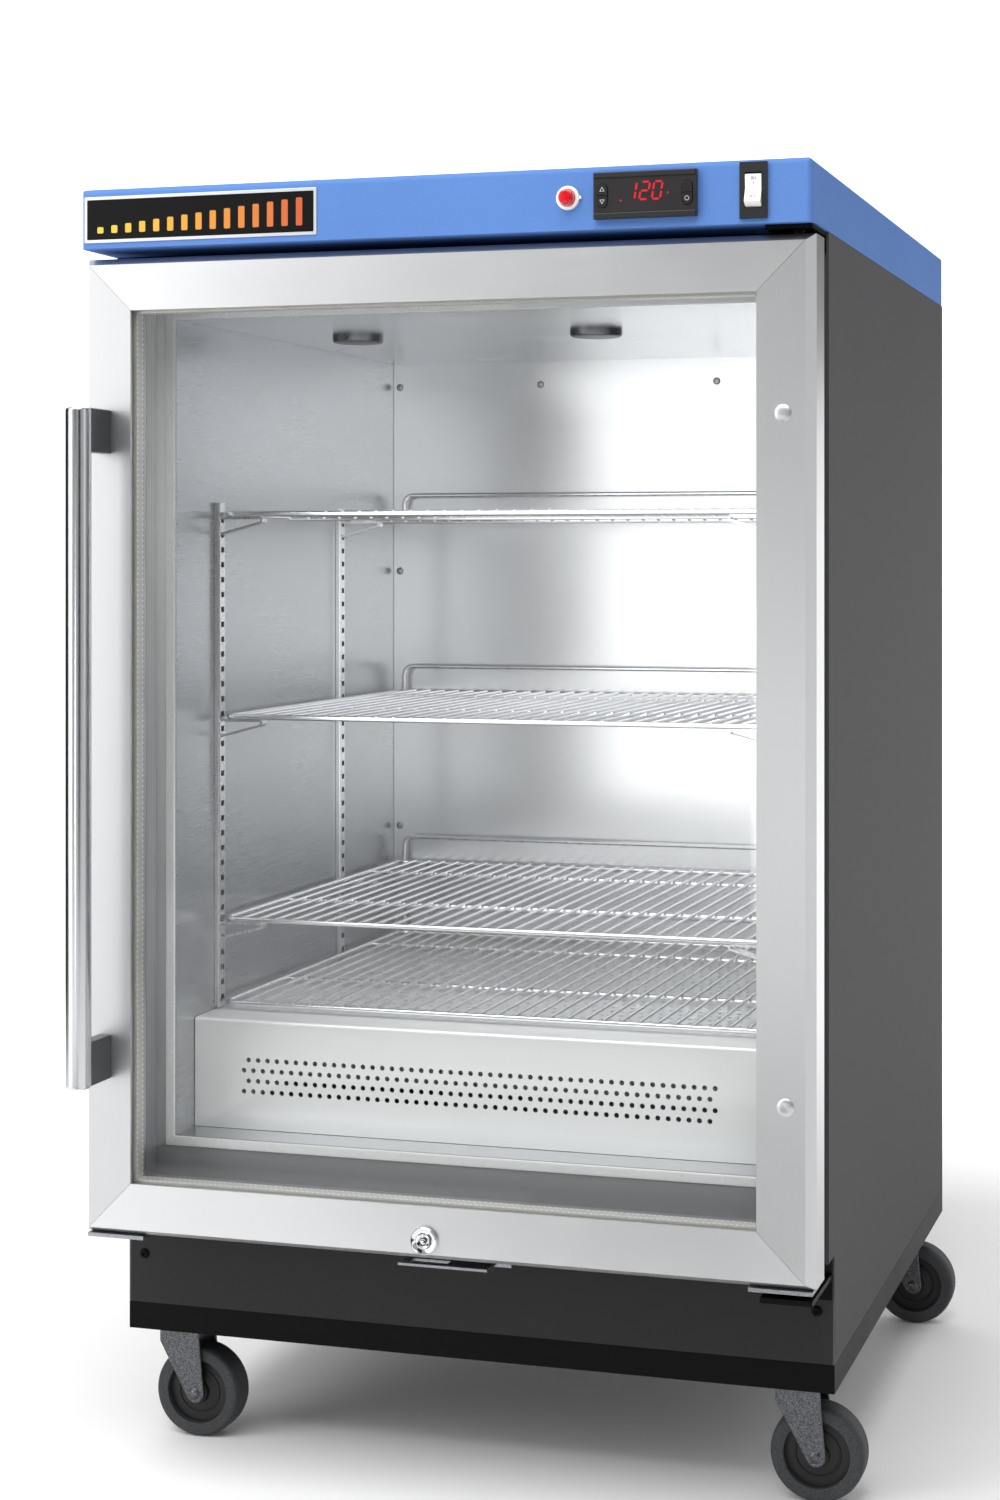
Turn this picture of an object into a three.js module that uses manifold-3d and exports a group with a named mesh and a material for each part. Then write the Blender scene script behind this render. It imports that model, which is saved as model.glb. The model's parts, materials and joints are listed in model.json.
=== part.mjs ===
// Blanket warming cabinet on four swivel casters, with a glazed door and a painted control fascia.
// Millimetres, +Z up from the floor, the door faces -Y and is hinged on its right-hand edge.
import * as THREE from "three";
import { mergeVertices } from "three/addons/utils/BufferGeometryUtils.js";
import Module from "manifold-3d";

const wasm = await Module();
wasm.setup();

// Cabinet body, measured from its front plane (y = 0) and its middle (x = 0)
const GAP = 0.3;
const WIDTH = 600;
const HALF = WIDTH / 2;
const DEPTH = 563;
const SKIN = 1.5;
const RETURN = 14;
const BASE_BOTTOM = 97;
const BASE_TOP = 119;
const STEP_Z = 204;
const STEP_Y = 22;
const BODY_TOP = 989;
const COVER_TOP = 1037;
const FASCIA_Y = -60;
const COVER_SHEET = 1.5;
const COVER_RADIUS = 5;

// Heated chamber
const INNER_HALF = 247;
const INNER_BACK = 482;
const FLOOR_Z = 266;
const CEILING_Z = 937;
const LINER = 1.2;
const FRAME_SHEET = 2;
const FOAM_BOTTOM = 212;

// Door
const DOOR_FRONT = -58;
const DOOR_BACK = -18;
const DOOR_BOTTOM = 197;
const DOOR_TOP = 982;
const RAIL = 43;
const BEVEL_WIDTH = 6;
const BEVEL_DEPTH = 12;
const GROOVE_BOTTOM = 30;
const LIP = 3;
const GROOVE_BACK = 22.9;
const BACK_LIP = 26;
const PANE = 4;
const SPACER_OUTER = 36;
const SPACER_INNER = 45;
const GASKET_OUTER = 20;
const GASKET_WIDTH = 16;
const HINGE_X = 285;
const HINGE_Y = -38;
const PIN_RADIUS = 4;

// Door furniture
const HANDLE_X = -280;
const HANDLE_Y = -100;
const HANDLE_RADIUS = 10;
const HANDLE_LOW = 324;
const HANDLE_HIGH = 859;
const POST_HEIGHTS = { handle_post_lower: 341, handle_post_upper: 842 };
const LOCK_X = -6;
const LOCK_Z = 214;
const CAM_LENGTH = 28;

// Control fascia
const PANEL_Z = 1013.5;
const CONTROLLER_X = 172.5;
const SWITCH_X = 255.5;
const LAMP_X = 111;
const KEY_TRAVEL = 0.8;
const ROCKER_TILT = 10;

// Chamber fittings
const SHELF_TOPS = [366, 437, 609, 781];
const SHELF_HALF = 240;
const SHELF_FRONT = 70;
const SHELF_REAR = 476;
const WIRES = 30;
const WIRE = 3.6;
const RAIL_WIRE = 5;
const UPSTAND = 25;
const PILASTERS = [78, 339];
const DECK_Z = 357;
const DECK_FRONT = 35;
const FAN_X = -60;
const FAN_Y = 370;

// Casters
const CASTER_X = 266;
const CASTER_FRONT = 62;
const CASTER_REAR = 523;
const TRAIL = 14;
const WHEEL_RADIUS = 38;
const WHEEL_HALF = 12.5;

// The finished part stands with the middle of its outline on the origin
const SHIFT_X = (CASTER_X + TRAIL + WHEEL_RADIUS - HALF) / 2;
const SHIFT_Y = (DEPTH + HANDLE_Y - HANDLE_RADIUS) / 2;

function group(parent, name, x = 0, y = 0) {
  const made = new THREE.Group();
  made.name = name;
  made.position.set(x, y, 0);
  if (parent) {
    parent.add(made);
  }
  return made;
}

const part = group(null, "blanket_warming_cabinet");
const cabinet = group(part, "cabinet_axes", -SHIFT_X, -SHIFT_Y);
const shell = group(cabinet, "outer_shell");
const chamber = group(cabinet, "heated_chamber");
const door = group(cabinet, "glazed_door");
const controls = group(cabinet, "control_fascia");

function finish(color, roughness, metalness) {
  return new THREE.MeshStandardMaterial({ color, roughness, metalness });
}

const steel = finish(0xc4c7c9, 0.34, 1);
const satinFrame = finish(0xdfe1e3, 0.32, 1);
const brightSteel = finish(0xd8dadc, 0.18, 1);
const darkSteel = finish(0x4a4b4e, 0.35, 1);
const bluePaint = finish(0x5f92dc, 0.35, 0);
const greyPaint = finish(0x5a5958, 0.5, 0);
const blackPaint = finish(0x141416, 0.5, 0);
const blackPlastic = finish(0x18181a, 0.45, 0);
const whitePlastic = finish(0xeeeeea, 0.4, 0);
const greyKey = finish(0x6e6a66, 0.5, 0);
const redLens = finish(0xc21a22, 0.2, 0);
const rubber = finish(0x2a2a2c, 0.85, 0);
const foam = finish(0xe2d9b8, 0.9, 0);
const glass = finish(0xe8f0f0, 0.05, 0);
const zinc = finish(0xa9acb0, 0.4, 1);

// Closed solids and the cuts made in them
function solid(geometry) {
  const bare = geometry.index ? geometry.toNonIndexed() : geometry.clone();
  for (const name of Object.keys(bare.attributes)) {
    if (name !== "position") {
      bare.deleteAttribute(name);
    }
  }
  const welded = mergeVertices(bare, 1e-4);
  const mesh = new wasm.Mesh({
    numProp: 3,
    vertProperties: new Float32Array(welded.attributes.position.array),
    triVerts: new Uint32Array(welded.index.array),
  });
  return new wasm.Manifold(mesh);
}

function toGeometry(manifold) {
  const mesh = manifold.getMesh();
  const geometry = new THREE.BufferGeometry();
  geometry.setAttribute("position", new THREE.BufferAttribute(new Float32Array(mesh.vertProperties), 3));
  geometry.setIndex(new THREE.BufferAttribute(new Uint32Array(mesh.triVerts), 1));
  return geometry;
}

function meet(first, ...others) {
  return toGeometry(others.reduce((common, other) => common.intersect(solid(other)), solid(first)));
}

function join(first, ...others) {
  return toGeometry(others.reduce((sum, other) => sum.add(solid(other)), solid(first)));
}

function cut(first, ...others) {
  return toGeometry(others.reduce((rest, other) => rest.subtract(solid(other)), solid(first)));
}

function box(x0, x1, y0, y1, z0, z1) {
  const geometry = new THREE.BoxGeometry(x1 - x0, y1 - y0, z1 - z0);
  return geometry.translate((x0 + x1) / 2, (y0 + y1) / 2, (z0 + z1) / 2);
}

function polygon(points) {
  return new THREE.Shape(points.map(([a, b]) => new THREE.Vector2(a, b)));
}

// An outline in x and z, extruded from y0 to y1
function slabXZ(shape, y0, y1, segments = 8) {
  const geometry = new THREE.ExtrudeGeometry(shape, {
    depth: y1 - y0,
    bevelEnabled: false,
    curveSegments: segments,
  });
  return geometry.rotateX(Math.PI / 2).translate(0, y1, 0);
}

// An outline in y and z, extruded from x0 to x1
function slabYZ(shape, x0, x1, segments = 8) {
  const geometry = new THREE.ExtrudeGeometry(shape, {
    depth: x1 - x0,
    bevelEnabled: false,
    curveSegments: segments,
  });
  geometry.rotateX(Math.PI / 2).rotateZ(Math.PI / 2);
  return geometry.translate(x0, 0, 0);
}

// An outline in x and y, extruded from z0 to z1
function slabXY(shape, z0, z1, segments = 8) {
  const geometry = new THREE.ExtrudeGeometry(shape, {
    depth: z1 - z0,
    bevelEnabled: false,
    curveSegments: segments,
  });
  return geometry.translate(0, 0, z0);
}

function rodY(radius, y0, y1, x, z, segments = 24) {
  const geometry = new THREE.CylinderGeometry(radius, radius, y1 - y0, segments);
  return geometry.translate(x, (y0 + y1) / 2, z);
}

function rodZ(radius, z0, z1, x, y, segments = 24) {
  const geometry = new THREE.CylinderGeometry(radius, radius, z1 - z0, segments);
  return geometry.rotateX(Math.PI / 2).translate(x, y, (z0 + z1) / 2);
}

// A turned profile of [radius, distance along the axis] pairs, its axis along y
function turnedY(profile, x, y, z, segments = 28) {
  const points = profile.map(([radius, along]) => new THREE.Vector2(radius, along));
  return new THREE.LatheGeometry(points, segments).translate(x, y, z);
}

function ring(outer, inner) {
  const shape = polygon(outer);
  shape.holes.push(new THREE.Path(inner.map(([a, b]) => new THREE.Vector2(a, b))));
  return shape;
}

function rectangle(a0, a1, b0, b1) {
  return [[a0, b0], [a1, b0], [a1, b1], [a0, b1]];
}

function place(parent, name, geometry, material) {
  const flat = geometry.index ? geometry.toNonIndexed() : geometry.clone();
  flat.computeVertexNormals();
  const mesh = new THREE.Mesh(flat, material.clone());
  mesh.name = name;
  parent.add(mesh);
  return mesh;
}

// Outer skins: a side panel is one sheet with a return along its front and rear edges
function sidePanel(side) {
  const outline = polygon([
    [side * HALF, 0],
    [side * HALF, DEPTH],
    [side * (HALF - RETURN), DEPTH],
    [side * (HALF - RETURN), DEPTH - SKIN],
    [side * (HALF - SKIN), DEPTH - SKIN],
    [side * (HALF - SKIN), SKIN],
    [side * (HALF - RETURN), SKIN],
    [side * (HALF - RETURN), 0],
  ]);
  const sheet = slabXY(outline, BASE_TOP + GAP, BODY_TOP - GAP);
  const notch = box(-HALF - 1, HALF + 1, -1, STEP_Y, BASE_TOP, STEP_Z);
  return cut(sheet, notch);
}

const INLET = { x: 200, z: 158, halfX: 14, halfZ: 10 };

function rearPanel() {
  const reach = HALF - RETURN - GAP;
  const outline = ring(
    rectangle(-reach, reach, BASE_TOP + GAP, BODY_TOP - GAP),
    rectangle(INLET.x - INLET.halfX, INLET.x + INLET.halfX, INLET.z - INLET.halfZ, INLET.z + INLET.halfZ),
  );
  return slabXZ(outline, DEPTH - SKIN, DEPTH);
}

function powerInlet() {
  const back = DEPTH - SKIN - GAP;
  const flange = box(INLET.x - 24, INLET.x + 24, back - 3, back, INLET.z - 14, INLET.z + 14);
  const shell = box(INLET.x - 12, INLET.x + 12, back - 24, DEPTH - 0.5, INLET.z - 8.5, INLET.z + 8.5);
  const socket = box(INLET.x - 9.5, INLET.x + 9.5, back - 15, DEPTH, INLET.z - 6, INLET.z + 6);
  return cut(join(flange, shell), socket);
}

// The painted cover is a shallow tray with rounded bends, closed under its overhang above the door
function roundedTop(a0, a1, bottom, top, radius) {
  const shape = new THREE.Shape();
  shape.moveTo(a0, bottom);
  shape.lineTo(a1, bottom);
  shape.lineTo(a1, top - radius);
  shape.absarc(a1 - radius, top - radius, radius, 0, Math.PI / 2, false);
  shape.lineTo(a0 + radius, top);
  shape.absarc(a0 + radius, top - radius, radius, Math.PI / 2, Math.PI, false);
  shape.lineTo(a0, bottom);
  return shape;
}

function coverBlock(inset, bottom) {
  const half = HALF - inset;
  const top = COVER_TOP - inset;
  const front = FASCIA_Y + inset;
  const rear = DEPTH - inset;
  const radius = COVER_RADIUS - inset;
  const across = slabXZ(roundedTop(-half, half, bottom, top, radius), front, rear, 5);
  const along = slabYZ(roundedTop(front, rear, bottom, top, radius), -half, half, 5);
  const corner = slabXY(roundedTop(-half, half, front + 20, rear, radius), bottom, top, 5);
  const frontCorner = slabXY(roundedTop(-half, half, -rear + 20, -front, radius), bottom, top, 5);
  return meet(across, along, join(corner, frontCorner.rotateZ(Math.PI)));
}

function topCover() {
  const front = FASCIA_Y + COVER_SHEET;
  const hollow = coverBlock(COVER_SHEET, BODY_TOP - 1);
  const lip = box(-HALF, HALF, FASCIA_Y, -3, BODY_TOP - 2, BODY_TOP + COVER_SHEET);
  const controllerHole = box(
    CONTROLLER_X - 36.3, CONTROLLER_X + 36.3, FASCIA_Y - 1, front + 1, PANEL_Z - 14.8, PANEL_Z + 14.8,
  );
  const switchHole = box(
    SWITCH_X - 9.3, SWITCH_X + 9.3, FASCIA_Y - 1, front + 1, PANEL_Z - 17.3, PANEL_Z + 17.3,
  );
  const lampHole = rodY(6.4, FASCIA_Y - 1, front + 1, LAMP_X, PANEL_Z);
  return cut(coverBlock(0, BODY_TOP), cut(hollow, lip), controllerHole, switchHole, lampHole);
}

function baseTray() {
  const tray = box(-HALF, HALF, STEP_Y, DEPTH, BASE_BOTTOM, BASE_TOP);
  const inside = box(-HALF + 2, HALF - 2, STEP_Y + 2, DEPTH - 2, BASE_BOTTOM + 2.5, BASE_TOP + 1);
  const holes = [];
  for (const x of [-CASTER_X, CASTER_X]) {
    for (const y of [CASTER_FRONT, CASTER_REAR]) {
      holes.push(rodZ(6.4, BASE_BOTTOM - 1, BASE_BOTTOM + 4, x, y));
    }
  }
  return cut(tray, inside, ...holes);
}

function kickPlate() {
  const top = STEP_Z - GAP;
  const bottom = BASE_TOP + GAP;
  const outline = polygon([
    [STEP_Y, bottom],
    [STEP_Y + SKIN, bottom],
    [STEP_Y + SKIN, top],
    [0, top],
    [0, top - SKIN],
    [STEP_Y, top - SKIN],
  ]);
  return slabYZ(outline, -HALF + SKIN + GAP, HALF - SKIN - GAP);
}

function frontFrame() {
  const reach = HALF - RETURN - GAP;
  const outline = ring(
    rectangle(-reach, reach, STEP_Z, BODY_TOP - 2 * GAP),
    rectangle(-INNER_HALF, INNER_HALF, FLOOR_Z, CEILING_Z),
  );
  return slabXZ(outline, 0, FRAME_SHEET);
}

function insulation() {
  const reach = HALF - SKIN - GAP;
  const skin = LINER + GAP;
  const block = box(-reach, reach, FRAME_SHEET + GAP, DEPTH - SKIN - GAP, FOAM_BOTTOM, BODY_TOP - 2 * GAP);
  const chamber = box(
    -INNER_HALF - skin, INNER_HALF + skin, 0, INNER_BACK + skin, FLOOR_Z - skin, CEILING_Z + skin,
  );
  return cut(block, chamber);
}

place(shell, "side_panel_left", sidePanel(-1), greyPaint);
place(shell, "side_panel_right", sidePanel(1), greyPaint);
place(shell, "rear_panel", rearPanel(), greyPaint);
place(shell, "power_inlet", powerInlet(), blackPlastic);
place(shell, "top_cover", topCover(), bluePaint);
place(shell, "base_tray", baseTray(), blackPaint);
place(shell, "kick_plate", kickPlate(), darkSteel);
place(shell, "front_frame", frontFrame(), blackPlastic);
place(shell, "insulation", insulation(), foam);

// Chamber lining, five sheets
const LINER_FRONT = FRAME_SHEET + GAP;
const SHEET_LOW = FLOOR_Z - LINER;
const SHEET_HIGH = CEILING_Z + LINER;
const BETWEEN = INNER_HALF - GAP;
const LINER_REAR = INNER_BACK + LINER;

function linerSide(x0) {
  return box(x0, x0 + LINER, LINER_FRONT, LINER_REAR, SHEET_LOW, SHEET_HIGH);
}

function linerFlat(z0, z1) {
  return box(-BETWEEN, BETWEEN, LINER_FRONT, INNER_BACK - GAP, z0, z1);
}

place(chamber, "liner_left", linerSide(-INNER_HALF - LINER), steel);
place(chamber, "liner_right", linerSide(INNER_HALF), steel);
place(chamber, "liner_back", box(-BETWEEN, BETWEEN, INNER_BACK, LINER_REAR, SHEET_LOW, SHEET_HIGH), steel);
place(chamber, "liner_top", linerFlat(CEILING_Z, SHEET_HIGH), steel);
place(chamber, "liner_floor", linerFlat(SHEET_LOW, FLOOR_Z), steel);

// Shelf standards with their folded clips, one channel of steel per corner
function pilaster(side) {
  const wall = side * BETWEEN;
  const face = side * (BETWEEN - 5);
  const low = Math.min(wall, face);
  const channel = box(low, low + 5, -6, 6, DECK_Z + 1.5, 788);
  const clips = SHELF_TOPS.slice(1).map((top) => {
    const under = top - RAIL_WIRE - GAP;
    const tip = side * (BETWEEN - 44);
    const root = side * (BETWEEN - 4);
    const outline = polygon([
      [root, under],
      [tip, under],
      [tip, under - 2.5],
      [root, under - 16],
      [root, under - 13.5],
      [side * (BETWEEN - 36), under - 2],
      [root, under - 2],
    ]);
    return slabXZ(outline, -5, 5);
  });
  return join(channel, ...clips);
}

const [PILASTER_FRONT, PILASTER_REAR] = PILASTERS;
place(chamber, "pilaster_front_left", pilaster(-1), steel).position.y = PILASTER_FRONT;
place(chamber, "pilaster_front_right", pilaster(1), steel).position.y = PILASTER_FRONT;
place(chamber, "pilaster_rear_left", pilaster(-1), steel).position.y = PILASTER_REAR;
place(chamber, "pilaster_rear_right", pilaster(1), steel).position.y = PILASTER_REAR;

// A wire shelf: rails all round, wires from front to rear and a rear upstand
function shelf() {
  const outer = rectangle(-SHELF_HALF, SHELF_HALF, SHELF_FRONT, SHELF_REAR);
  const reach = SHELF_HALF - RAIL_WIRE;
  const inner = rectangle(-reach, reach, SHELF_FRONT + RAIL_WIRE, SHELF_REAR - RAIL_WIRE);
  const rails = slabXY(ring(outer, inner), -RAIL_WIRE, 0);
  const pitch = (2 * reach) / (WIRES + 1);
  const wires = [];
  for (let i = 1; i <= WIRES; i += 1) {
    const x = -reach + i * pitch;
    wires.push(box(x - WIRE / 2, x + WIRE / 2, SHELF_FRONT + 2, SHELF_REAR - 2, -4.2, -0.6));
  }
  const back = SHELF_REAR - 4.5;
  const guard = box(-SHELF_HALF + 1, SHELF_HALF - 1, back, back + 4, -1, UPSTAND);
  const window = box(-SHELF_HALF + 6, SHELF_HALF - 6, back - 1, back + 5, 4, UPSTAND - 4);
  return join(rails, ...wires, cut(guard, window));
}

const shelfNames = ["shelf_bottom", "shelf_lower", "shelf_middle", "shelf_upper"];
SHELF_TOPS.forEach((top, i) => {
  place(chamber, shelfNames[i], shelf(), brightSteel).position.z = top;
});

// Heater box under the bottom shelf: folded cover, tubular element and circulation fan
function heaterCover() {
  const reach = BETWEEN - GAP;
  const outline = polygon([
    [DECK_FRONT, FLOOR_Z + GAP],
    [DECK_FRONT + LINER, FLOOR_Z + GAP],
    [DECK_FRONT + LINER, DECK_Z - LINER],
    [INNER_BACK - GAP, DECK_Z - LINER],
    [INNER_BACK - GAP, DECK_Z],
    [DECK_FRONT, DECK_Z],
  ]);
  return slabYZ(outline, -reach, reach);
}

class HeaterPath extends THREE.Curve {
  getPoint(t, target = new THREE.Vector3()) {
    const straight = 260;
    const bend = Math.PI * 60;
    const along = t * (2 * straight + bend);
    if (along < straight) {
      return target.set(-120 + along, 120, 306);
    }
    if (along < straight + bend) {
      const angle = (along - straight) / 60;
      return target.set(140 + 60 * Math.sin(angle), 180 - 60 * Math.cos(angle), 306);
    }
    return target.set(140 - (along - straight - bend), 240, 306);
  }
}

function heaterElement() {
  const section = new THREE.Shape();
  section.absarc(0, 0, 4, 0, 2 * Math.PI, false);
  const tube = new THREE.ExtrudeGeometry(section, {
    steps: 24,
    curveSegments: 4,
    bevelEnabled: false,
    extrudePath: new HeaterPath(),
  });
  const bracket = box(-112, -100, 112, 248, FLOOR_Z + GAP, 308);
  return join(tube, bracket);
}

function fanMotor() {
  const can = rodZ(32, FLOOR_Z + GAP, 302, 0, 0);
  const shaft = rodZ(3, 300, 330, 0, 0, 16);
  return join(can, shaft);
}

function fanBlade() {
  const hub = rodZ(11, 310, 328, 0, 0);
  const blades = [];
  for (let i = 0; i < 5; i += 1) {
    const blade = new THREE.BoxGeometry(62, 26, 1.6);
    blades.push(blade.rotateX(0.5).translate(38, 0, 319).rotateZ((i * 2 * Math.PI) / 5));
  }
  return cut(join(hub, ...blades), rodZ(3.3, 305, 335, 0, 0, 16));
}

const fan = group(chamber, "circulation_fan", FAN_X, FAN_Y);
place(chamber, "heater_cover", heaterCover(), steel);
place(chamber, "heater_element", heaterElement(), darkSteel);
place(fan, "fan_motor", fanMotor(), zinc);
place(fan, "fan_blade", fanBlade(), zinc);

// Door frame: four mitred rails with a bevelled outer edge and a groove for the double glazing.
// In the section, the first number runs from the outer edge inwards and the second from front to back.
const DOOR_DEPTH = DOOR_BACK - DOOR_FRONT;
const DOOR_HEIGHT = DOOR_TOP - DOOR_BOTTOM;
const SECTION = [
  [BEVEL_WIDTH, 0],
  [RAIL, 0],
  [RAIL, LIP],
  [GROOVE_BOTTOM, LIP],
  [GROOVE_BOTTOM, GROOVE_BACK],
  [RAIL, GROOVE_BACK],
  [RAIL, BACK_LIP],
  [GROOVE_BOTTOM + 1, BACK_LIP],
  [GROOVE_BOTTOM + 1, DOOR_DEPTH],
  [0, DOOR_DEPTH],
  [0, BEVEL_DEPTH],
];

function mitredRail(length, toPlace) {
  const bar = new THREE.ExtrudeGeometry(polygon(SECTION), { depth: length, steps: 1, bevelEnabled: false });
  const placed = bar.clone();
  const probe = [[0, 0, 0], [1, 0, 0], [0, 1, 0], [0, 0, 1]].map((p) => new THREE.Vector3(...toPlace(...p)));
  const [origin, ...axes] = probe;
  axes.forEach((axis) => axis.sub(origin));
  const mirrored = axes[0].dot(axes[1].clone().cross(axes[2])) < 0;
  const from = bar.attributes.position;
  for (let i = 0; i < from.count; i += 1) {
    const across = from.getX(i);
    const back = from.getY(i);
    const along = from.getZ(i) < length / 2 ? across + GAP / 2 : length - across - GAP / 2;
    const corner = i % 3;
    const target = mirrored && corner > 0 ? i - corner + 3 - corner : i;
    placed.attributes.position.setXYZ(target, ...toPlace(across, back, along));
  }
  return placed;
}

const hingeHole = (z0, z1) => rodZ(PIN_RADIUS + 0.4, z0, z1, HINGE_X, HINGE_Y);
const topRail = mitredRail(WIDTH, (a, b, l) => [-HALF + l, DOOR_FRONT + b, DOOR_TOP - a]);
const bottomRail = mitredRail(WIDTH, (a, b, l) => [-HALF + l, DOOR_FRONT + b, DOOR_BOTTOM + a]);
const leftStile = mitredRail(DOOR_HEIGHT, (a, b, l) => [-HALF + a, DOOR_FRONT + b, DOOR_BOTTOM + l]);
const rightStile = mitredRail(DOOR_HEIGHT, (a, b, l) => [HALF - a, DOOR_FRONT + b, DOOR_BOTTOM + l]);
const lockBore = rodY(9.3, DOOR_FRONT - 1, -31, LOCK_X, LOCK_Z);
const camPocket = box(LOCK_X - 34, LOCK_X + 9, -32, -25.5, DOOR_BOTTOM - 1, LOCK_Z + 8.5);
const topPinHole = hingeHole(DOOR_TOP - 19, DOOR_TOP + 1);
const bottomPinHole = hingeHole(DOOR_BOTTOM - 1, DOOR_BOTTOM + 19);
place(door, "door_rail_top", cut(topRail, topPinHole), satinFrame);
place(door, "door_rail_bottom", cut(bottomRail, bottomPinHole, lockBore, camPocket), satinFrame);
place(door, "door_stile_left", leftStile, satinFrame);
place(door, "door_stile_right", cut(rightStile, bottomPinHole, topPinHole), satinFrame);

// Double glazing: two panes round a metal spacer
function pane(front) {
  const inset = GROOVE_BOTTOM + 0.5;
  const x = HALF - inset;
  return box(-x, x, front, front + PANE - GAP, DOOR_BOTTOM + inset, DOOR_TOP - inset);
}

function doorRing(outer, inner, y0, y1) {
  const shape = ring(
    rectangle(-HALF + outer, HALF - outer, DOOR_BOTTOM + outer, DOOR_TOP - outer),
    rectangle(-HALF + inner, HALF - inner, DOOR_BOTTOM + inner, DOOR_TOP - inner),
  );
  return slabXZ(shape, y0, y1);
}

const OUTER_PANE = DOOR_FRONT + LIP + GAP;
const INNER_PANE = DOOR_FRONT + GROOVE_BACK - PANE;
place(door, "door_glass_outer", pane(OUTER_PANE), glass);
place(door, "glass_spacer", doorRing(SPACER_OUTER, SPACER_INNER, OUTER_PANE + PANE, INNER_PANE - GAP), zinc);
place(door, "door_glass_inner", pane(INNER_PANE), glass);
const GASKET_INNER = GASKET_OUTER + GASKET_WIDTH;
place(door, "door_gasket", doorRing(GASKET_OUTER, GASKET_INNER, DOOR_BACK + GAP, -GAP), rubber);

// Tubular handle on two flat posts
const barProfile = [
  [0, HANDLE_LOW],
  [HANDLE_RADIUS - 1.5, HANDLE_LOW],
  [HANDLE_RADIUS, HANDLE_LOW + 1.5],
  [HANDLE_RADIUS, HANDLE_HIGH - 1.5],
  [HANDLE_RADIUS - 1.5, HANDLE_HIGH],
  [0, HANDLE_HIGH],
].map(([radius, along]) => new THREE.Vector2(radius, along));
const bar = new THREE.LatheGeometry(barProfile, 32).rotateX(Math.PI / 2).translate(HANDLE_X, HANDLE_Y, 0);
place(door, "handle_bar", bar, brightSteel);
for (const [name, z] of Object.entries(POST_HEIGHTS)) {
  const block = box(HANDLE_X - 6, HANDLE_X + 6, HANDLE_Y + 5, DOOR_FRONT - GAP, -17.5, 17.5);
  const saddle = rodZ(HANDLE_RADIUS + GAP, -20, 20, HANDLE_X, HANDLE_Y, 32);
  place(door, name, cut(block, saddle), darkSteel).position.z = z;
}

// Lock in the bottom rail: a fixed barrel and a turning plug with its cam, resting unlocked
const barrelProfile = [[0, 0], [11, 0], [11, 3.4], [9, 3.4], [9, 29], [0, 29], [0, 0]];
const barrel = turnedY(barrelProfile, LOCK_X, -61.7, LOCK_Z);
place(door, "lock_body", cut(barrel, rodY(6.3, -70, -20, LOCK_X, LOCK_Z)), brightSteel);
const plug = rodY(6, -62.2, -27.5, LOCK_X, LOCK_Z);
const cam = box(LOCK_X - CAM_LENGTH, LOCK_X, -31, -28, LOCK_Z - 5, LOCK_Z + 5);
place(door, "lock_plug", join(plug, cam), brightSteel);

function strikePlate() {
  const outline = polygon([
    [-38, 189],
    [STEP_Y - GAP, 189],
    [STEP_Y - GAP, 174],
    [STEP_Y - GAP - 2, 174],
    [STEP_Y - GAP - 2, 187],
    [-38, 187],
  ].reverse());
  const sheet = slabYZ(outline, LOCK_X - 30, LOCK_X + 44);
  return cut(sheet, box(LOCK_X - 22, LOCK_X + 9, -33, -24, 180, 195));
}

place(shell, "strike_plate", strikePlate(), steel);

// Pivot hinges: brackets with pins on the body, foot plates under the door
function footPlate(side) {
  const x0 = Math.min(side * 249, side * 298);
  const sheet = box(x0, x0 + 49, -52, -24, DOOR_BOTTOM - 3.3, DOOR_BOTTOM - GAP);
  return cut(sheet, rodZ(PIN_RADIUS + 0.4, 190, 200, side * HINGE_X, HINGE_Y));
}

place(door, "door_foot_plate_left", footPlate(-1), steel);
place(door, "door_foot_plate_right", footPlate(1), steel);
const topBracket = join(
  box(262, 298, -52, -3, 985.5, BODY_TOP - GAP),
  box(262, 298, -3, -GAP, 972, BODY_TOP - GAP),
  rodZ(PIN_RADIUS, 966, 987, HINGE_X, HINGE_Y),
);
place(shell, "hinge_bracket_top", topBracket, darkSteel);
const bottomBracket = join(
  box(258, 298, -52, STEP_Y - GAP, 186, 190),
  box(258, 298, STEP_Y - GAP - 3, STEP_Y - GAP, 170, 190),
  rodZ(PIN_RADIUS, 188, 213, HINGE_X, HINGE_Y),
);
place(shell, "hinge_bracket_bottom", bottomBracket, blackPaint);

// Controller with four keys in two pill-shaped wells
const FACE_Y = FASCIA_Y - 5;
const KEYS = { x: 33, halfWidth: 4.3, halfHeight: 9.3 };

function pill(x, halfWidth, halfHeight) {
  const shape = new THREE.Shape();
  const straight = halfHeight - halfWidth;
  shape.absarc(x, PANEL_Z + straight, halfWidth, 0, Math.PI, false);
  shape.absarc(x, PANEL_Z - straight, halfWidth, Math.PI, 2 * Math.PI, false);
  return shape;
}

function controllerHousing() {
  const face = box(
    CONTROLLER_X - 40, CONTROLLER_X + 40, FACE_Y, FASCIA_Y - GAP, PANEL_Z - 17.5, PANEL_Z + 17.5,
  );
  const body = box(
    CONTROLLER_X - 35.5, CONTROLLER_X + 35.5, FASCIA_Y - 1, FASCIA_Y + 58, PANEL_Z - 14.2, PANEL_Z + 14.2,
  );
  const wells = [-KEYS.x, KEYS.x].map((x) =>
    slabXZ(pill(CONTROLLER_X + x, KEYS.halfWidth, KEYS.halfHeight), FACE_Y - 1, FACE_Y + 3.6, 8));
  return cut(join(face, body), ...wells);
}

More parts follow.
